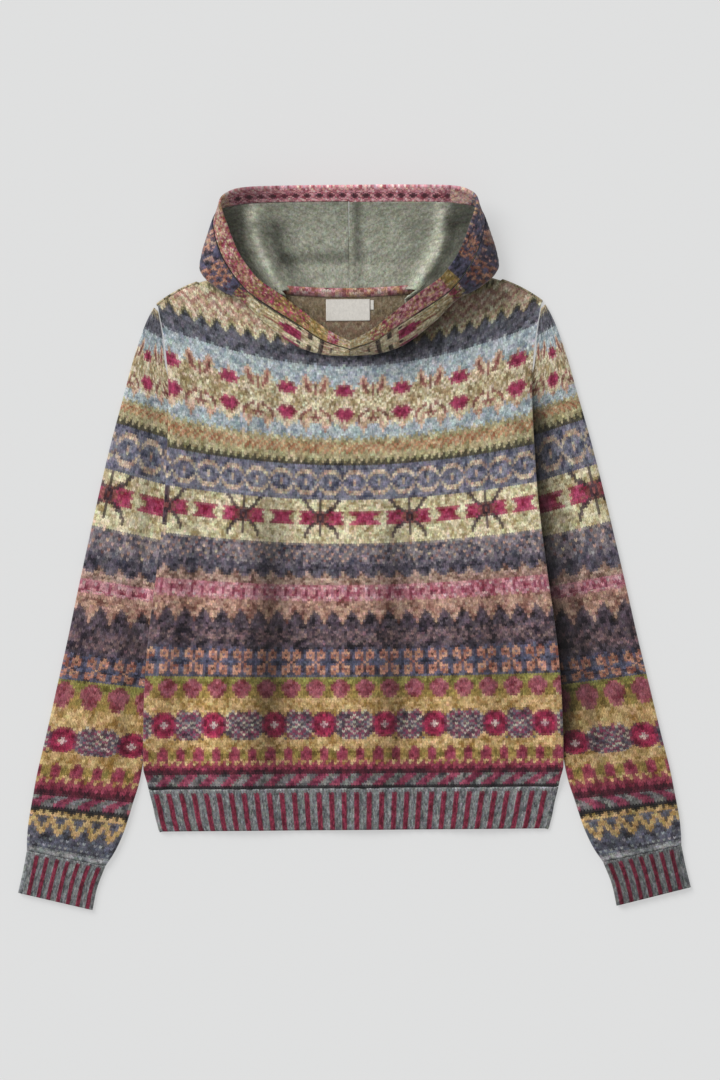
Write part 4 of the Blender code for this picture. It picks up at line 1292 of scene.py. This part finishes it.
DRAWN = "drawn"           # yarns drawn by lot, stitch by stitch
LAID = "laid"             # a repeat laid across, row by row
HoodBand = namedtuple("HoodBand", "rows kind yarns")
HOOD_BANDS = [            # from the point in front round to the crown
    HoodBand(5, DRAWN, "CgWC"), HoodBand(3, DRAWN, "WCw"), HoodBand(1, LAID, "WWWWWYYYYYYY"),
    HoodBand(3, DRAWN, "WwC"), HoodBand(2, LAID, "YYYYtYYYYYYY"), HoodBand(3, DRAWN, "WWC"),
    HoodBand(2, LAID, "YYYYYYWWWWWW"), HoodBand(3, DRAWN, "sWC"),
    HoodBand(2, LAID, "WYYCRRRRRRRR"), HoodBand(7, LAID, "WCsWRRRZRRRR"),
    HoodBand(3, LAID, "CTCsWWRRRuuC"), HoodBand(8, LAID, "COCgCCgCuMCC"),
    HoodBand(10, DRAWN, "CCOWgT"), HoodBand(4, DRAWN, "RMvOkR"), HoodBand(3, DRAWN, "RvgOnC"),
    HoodBand(6, DRAWN, "nnnVq"), HoodBand(11, LAID, "nfnnfn ffnnff nffffn nnffnn"),
    HoodBand(8, DRAWN, "nnVnH"), HoodBand(9, DRAWN, "HfnsH"), HoodBand(8, DRAWN, "nVn"),
    HoodBand(6, LAID, "SQSSQ"), HoodBand(6, DRAWN, "FsF"), HoodBand(8, DRAWN, "DFD"),
    HoodBand(6, LAID, "OuO dOO"), HoodBand(8, DRAWN, "B"), HoodBand(6, LAID, "WTW RWR"),
    HoodBand(6, LAID, "RRWW WRRW"), HoodBand(6, DRAWN, "WTW"), HoodBand(6, DRAWN, "B"),
    HoodBand(8, DRAWN, "N"),
]


def hood_letters(rows, columns):
    """Letters for every row of a hood half. The last bands go on past its own rows."""
    lines = []
    for band in HOOD_BANDS:
        repeats = band.yarns.split()
        for i in range(band.rows):
            repeat = repeats[i % len(repeats)]
            if band.kind == DRAWN:
                picks = chance.integers(len(repeat), size=columns)
            else:
                picks = np.arange(columns) % len(repeat)
            lines.append("".join(repeat[k] for k in picks))
    return lines[:rows]


HOOD_PAINTED_SHADES = {-1: 0.95, 1: 0.47}     # painted shade: the right half lies in the hood's own lee
GROOVE_ROWS = slice(23, 50)           # rows of painted shadow where the left half's edge band stands off it
GROOVE_PAINTED_SHADOW = 0.12


def make_hood_half(word, way):
    stations = even_stations("side_x", "side_h", ROW)
    shares = np.linspace(0, 1, HOOD_STITCHES + 1)
    points = hood_points(stations, shares)
    points[..., 0] *= way
    stitches = in_stitches(shares * HOOD_STITCHES, np.arange(len(stations)))
    letters = hood_letters(len(stations) - 1, HOOD_STITCHES)
    # painted shade over the half, and a painted shadow in the left half's groove
    shade = np.full((len(letters), HOOD_STITCHES), HOOD_PAINTED_SHADES[way])
    if way < 0:
        shade[GROOVE_ROWS, 0] = GROOVE_PAINTED_SHADOW
    piece = cloth("hood_" + word, points, stitches, dye_and_painted_shade(letters, shade), HOOD_WALL,
                  offset=1 + GAP / HOOD_WALL, flip=way < 0, finish=HOOD_KNIT)
    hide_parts("hood_" + word)
    flat_area(piece)


FINE_ROW = 1.3            # the jersey's rows, in stitches
LINING_CREASE_SHARES = (0.3, 0.6)
LINING_LIVELY = 0.45      # the lining's heather strays less than the patterned knit's


def make_lining_half(word, way):
    stations = even_stations("side_x", "side_h", FINE_STITCH * FINE_ROW)
    count = int(HOOD_STITCHES * STITCH / FINE_STITCH)
    shares = np.linspace(0, 1, count + 1)
    points = hood_points(stations, shares)
    foot = FOLD_FEET[way]
    draw_in(points, stations, shares, foot)
    x, height = points[..., 0], points[..., 1]
    rise = lining_rise(x, height) + foot_rise(x, height, foot.crest_in)
    rise = rise + lining_creases(x, height) * smooth(*LINING_CREASE_SHARES, shares)
    points[..., 2] += rise * smooth(*FOOT_FROM, stations)[:, None]
    middles = face_middles(points)
    # painted shade and light on the lining, multiplied into its yarn colours
    shade = lining_painted_shade(middles[..., 0], middles[..., 1], way)
    points[..., 0] *= way
    letters = ["l" * count] * (len(stations) - 1)
    piece = cloth("hood_lining_" + word, points,
                  in_stitches(shares * count, np.arange(len(stations))),
                  dye_and_painted_shade(letters, shade, LINING_LIVELY), LINING_WALL,
                  offset=-1 - GAP / LINING_WALL, flip=way < 0, finish=LINING_KNIT)
    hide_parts("hood_lining_" + word)
    flat_area(piece)


BAND_STITCHES = 12
BAND_STITCH = 2.45
FROM_CHART = "."
# The band's yarns, drawn by lot, by how far round it they start from the left side of its
# point. The crown's come from its chart.
BAND_MIXES = [
    (0.00, "gCOcg"), (0.015, "PRcgR"), (0.035, "gOogTo"), (0.07, "oTRogMb"), (0.13, "oRpTbMs"),
    (0.17, "RbPMuTs"), (0.215, "usPRWb"), (0.25, "sWPusR"), (0.285, "sWPusc"),
    (0.315, FROM_CHART), (0.655, "sPcPs"), (0.69, "nHnnu"), (0.725, "nnHn"), (0.755, "fnnf"),
    (0.79, "nVn"), (0.815, "gooT"), (0.835, "bPpsPg"), (0.93, "RgCRgT"), (0.97, "gCWgC"),
]
CROWN_DOTS = [            # the crown's own repeat, from the free edge in
    "PcPPcb", "bPcPPs", "PbPPbP", "cPPbPP", "PpPPpb", "bPqqPP", "PqqqqP", "PqqqqP", "bPqqPp",
    "PpPPPc", "cPbPPP", "PPPcPb",
]


def band_letters(row, spots):
    line = ""
    for column, spot in enumerate(spots):
        pick = [yarns for start, yarns in BAND_MIXES if start <= spot][-1]
        if pick == FROM_CHART:
            line += CROWN_DOTS[row][column % len(CROWN_DOTS[row])]
        else:
            line += pick[chance.integers(len(pick))]
    return line


# Painted light and shade along the band's way round: painted shade at the crown's left end and down
# the right, and its colours made lighter over the crown.
BAND_PAINTED_LIGHT = [(0.0, 0.95), (0.1, 1.12), (0.24, 0.9), (0.3, 0.8), (0.355, 0.8), (0.43, 1.95),
              (0.6, 1.85), (0.66, 1.4), (0.7, 1.1), (0.76, 0.62), (1.0, 0.6)]
# How thick its wall is across, from the free edge in.
BAND_WALLS = [(0, 0.6), (0.125, 0.9), (0.25, 1), (0.8, 1), (1, 0.8)]
CLOSED_FROM = 0.5         # past here the right side's edge band meets the hood half
CLOSED_GAP = -0.6


def make_edge_band():
    side = even_stations("edge_x", "edge_h", BAND_STITCH)
    half = len(side)
    shares = np.linspace(0, 1, BAND_STITCHES + 1)
    around = np.concatenate([side, side[-2::-1]])
    rows = []
    for index, station in enumerate(around):
        closed = index >= half and station > CLOSED_FROM
        end = float(band_width(station)) - BAND_GAP / 2 * (CLOSED_GAP if closed else 1)
        line = along(hood_section(station), end * shares)[0]
        line[:, 0] = np.maximum(line[:, 0], 0) * (-1 if index < half else 1)
        rows.append(line)
    points = np.array(rows).transpose(1, 0, 2)
    columns = points.shape[1] - 1
    spots = np.linspace(0, 1, columns)
    letters = [band_letters(row, spots) for row in range(BAND_STITCHES)]
    stitches = in_stitches(np.arange(columns + 1), shares * BAND_STITCHES)
    walls = np.interp(shares, *zip(*BAND_WALLS))[:, None] * np.ones(columns + 1)
    # painted light and shade along the band, multiplied into its yarn colours
    shade = np.interp(spots, *zip(*BAND_PAINTED_LIGHT)) * np.ones((BAND_STITCHES, 1))
    piece = cloth("hood_edge_band", points, stitches, dye_and_painted_shade(letters, shade), BAND_THICK, offset=0.0,
                  flip=True, shares=walls, finish=ROSE_KNIT)
    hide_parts("hood_edge_band")
    flat_area(piece)


STRIP_STITCHES = 44
STRIP_YARNS = "PscuMP"
STRIP_LOW_SHARE = 0.45    # how far up to the lining's face its lower part has risen
BACK_ANGLE = 180.0


def make_seam_strip():
    angle = np.radians(np.linspace(-STRIP_REACH, STRIP_REACH, STRIP_STITCHES + 1))
    x = SHOULDER_INNER * np.sin(angle)
    neck = top_height(x, BACK_NECK) + SEAM_CLEAR
    neck = neck - neck_drop(neck, BACK_ANGLE)
    low = WALL + GAP
    rows = [(neck - STRIP_BELOW, np.full(len(x), low)),
            (neck - STRIP_BELOW / 2, mix(low, lining_face(x, neck), STRIP_LOW_SHARE))]
    rows += [(h, lining_face(x, h)) for h in (neck, neck + STRIP_ABOVE / 2, neck + STRIP_ABOVE)]
    points = np.stack([np.stack([x, h, z], axis=-1) for h, z in rows])
    letters = ["".join(STRIP_YARNS[chance.integers(len(STRIP_YARNS))]
                       for _ in range(STRIP_STITCHES)) for _ in rows[1:]]
    stitches = in_stitches(np.arange(STRIP_STITCHES + 1), np.arange(len(rows)))
    piece = cloth("neck_seam_strip", points, stitches, dye_and_painted_shade(letters), STRIP_WALL, offset=1.0,
                  finish=ROSE_KNIT)
    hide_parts("neck_seam_strip")


CURL_END = 0.35           # how far a woven piece's ends stand up
CURL_WIDE = 0.05
CURL_WAVE = 0.12          # how far it waves along its length
WAVES = 5
CURL_LOFT = 0.6
TAPE_SHARE = 0.5          # of the solid's thickness
LEAST_FLAT = 0.01


def make_patch(name, size, centre, wall, columns, rows):
    """A small woven piece lying on the inside of the back."""
    u, v = np.meshgrid(np.linspace(0, 1, columns + 1), np.linspace(0, 1, rows + 1))
    curl = CURL_END * bump(u, 0, CURL_WIDE) + CURL_END * bump(u, 1, CURL_WIDE)
    curl = curl + CURL_WAVE * np.sin(WAVES * u) * v
    points = np.stack([centre[0] + (u - 0.5) * size[0], centre[1] + (v - 0.5) * size[1],
                       WALL + GAP + curl * CURL_LOFT], axis=-1)
    piece = cloth(name, points, np.stack([u * columns, v * rows], axis=-1),
                  np.ones((rows, columns, 3)), wall * TAPE_SHARE, offset=1.0, finish=WOVEN_LABEL)
    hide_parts(name)
    width, length = max(size[0] * MM, LEAST_FLAT), size[1] * MM
    min(flat_area(piece), width * length)


# ---- surface, camera and light ----
SURFACE_SIZE = 12


def make_surface():
    bpy.ops.object.select_all(action="DESELECT")
    bpy.ops.mesh.primitive_plane_add(size=SURFACE_SIZE, location=(0, 0, 0))
    surface = bpy.context.object
    surface.name = "surface"
    material = new_material("pale paper", {
        "Base Color": (0.3, 0.302, 0.302, 1), "Emission Color": (0.995, 1, 1, 1),
        "Emission Strength": 0.47, "Roughness": 0.95})[0]
    surface.data.materials.append(material)


LENS = 300.0
SENSOR = 36.0
PIXEL = 1.24              # one of the photograph's pixels, in millimetres
IMAGE_HEIGHT = 1080
IMAGE_CENTRE = (10.5, 8.2)            # the point under the camera
ROLL = math.radians(-0.477)
CLOTH_FACE = 8.0          # the height at which PIXEL holds


def make_camera():
    bpy.ops.object.camera_add()
    camera = bpy.context.object
    camera.name = "camera"
    camera.data.lens = LENS
    camera.data.sensor_width = SENSOR
    camera.data.sensor_fit = "AUTO"
    distance = IMAGE_HEIGHT * PIXEL * LENS / SENSOR + CLOTH_FACE
    camera.location = (IMAGE_CENTRE[0] * MM, IMAGE_CENTRE[1] * MM, distance * MM)
    camera.rotation_euler = (0, 0, ROLL)
    camera.data.clip_end = 50
    bpy.context.scene.camera = camera


def make_light():
    scene = bpy.context.scene
    scene.view_settings.view_transform = "Standard"
    world = bpy.data.worlds.new("soft room")
    world.use_nodes = True
    world.node_tree.nodes["Background"].inputs["Color"].default_value = (1, 1, 1, 1)
    world.node_tree.nodes["Background"].inputs["Strength"].default_value = 0.45
    scene.world = world
    bpy.ops.object.light_add(type="SUN", location=(-2, 2, 4))
    sun = bpy.context.object
    sun.name = "soft key"
    sun.data.energy = 1.95
    sun.data.angle = math.radians(35)
    sun.rotation_euler = (math.radians(-30), math.radians(-38), 0)


make_surface()
make_panel("back", -1, BACK_NECK, [], [])
make_panel("front", 1, FRONT_NECK, FRONT_CREASES, FRONT_PAINTED_SHADES)
for side_word, side_way in (("left", -1), ("right", 1)):
    make_sleeve(side_word, side_way)
    make_cuff(side_word, side_way)
    make_hood_half(side_word, side_way)
    make_lining_half(side_word, side_way)
make_ribbed_band("hem_band", HEM_RIBS, HEM_ROWS, hem_ring_point, flip=True)
make_edge_band()
make_seam_strip()
make_patch("neck_label", LABEL_SIZE, LABEL_CENTRE, LABEL_WALL, 40, 20)
make_patch("size_loop", LOOP_SIZE, LOOP_CENTRE, LOOP_WALL, 6, 12)
make_camera()
make_light()
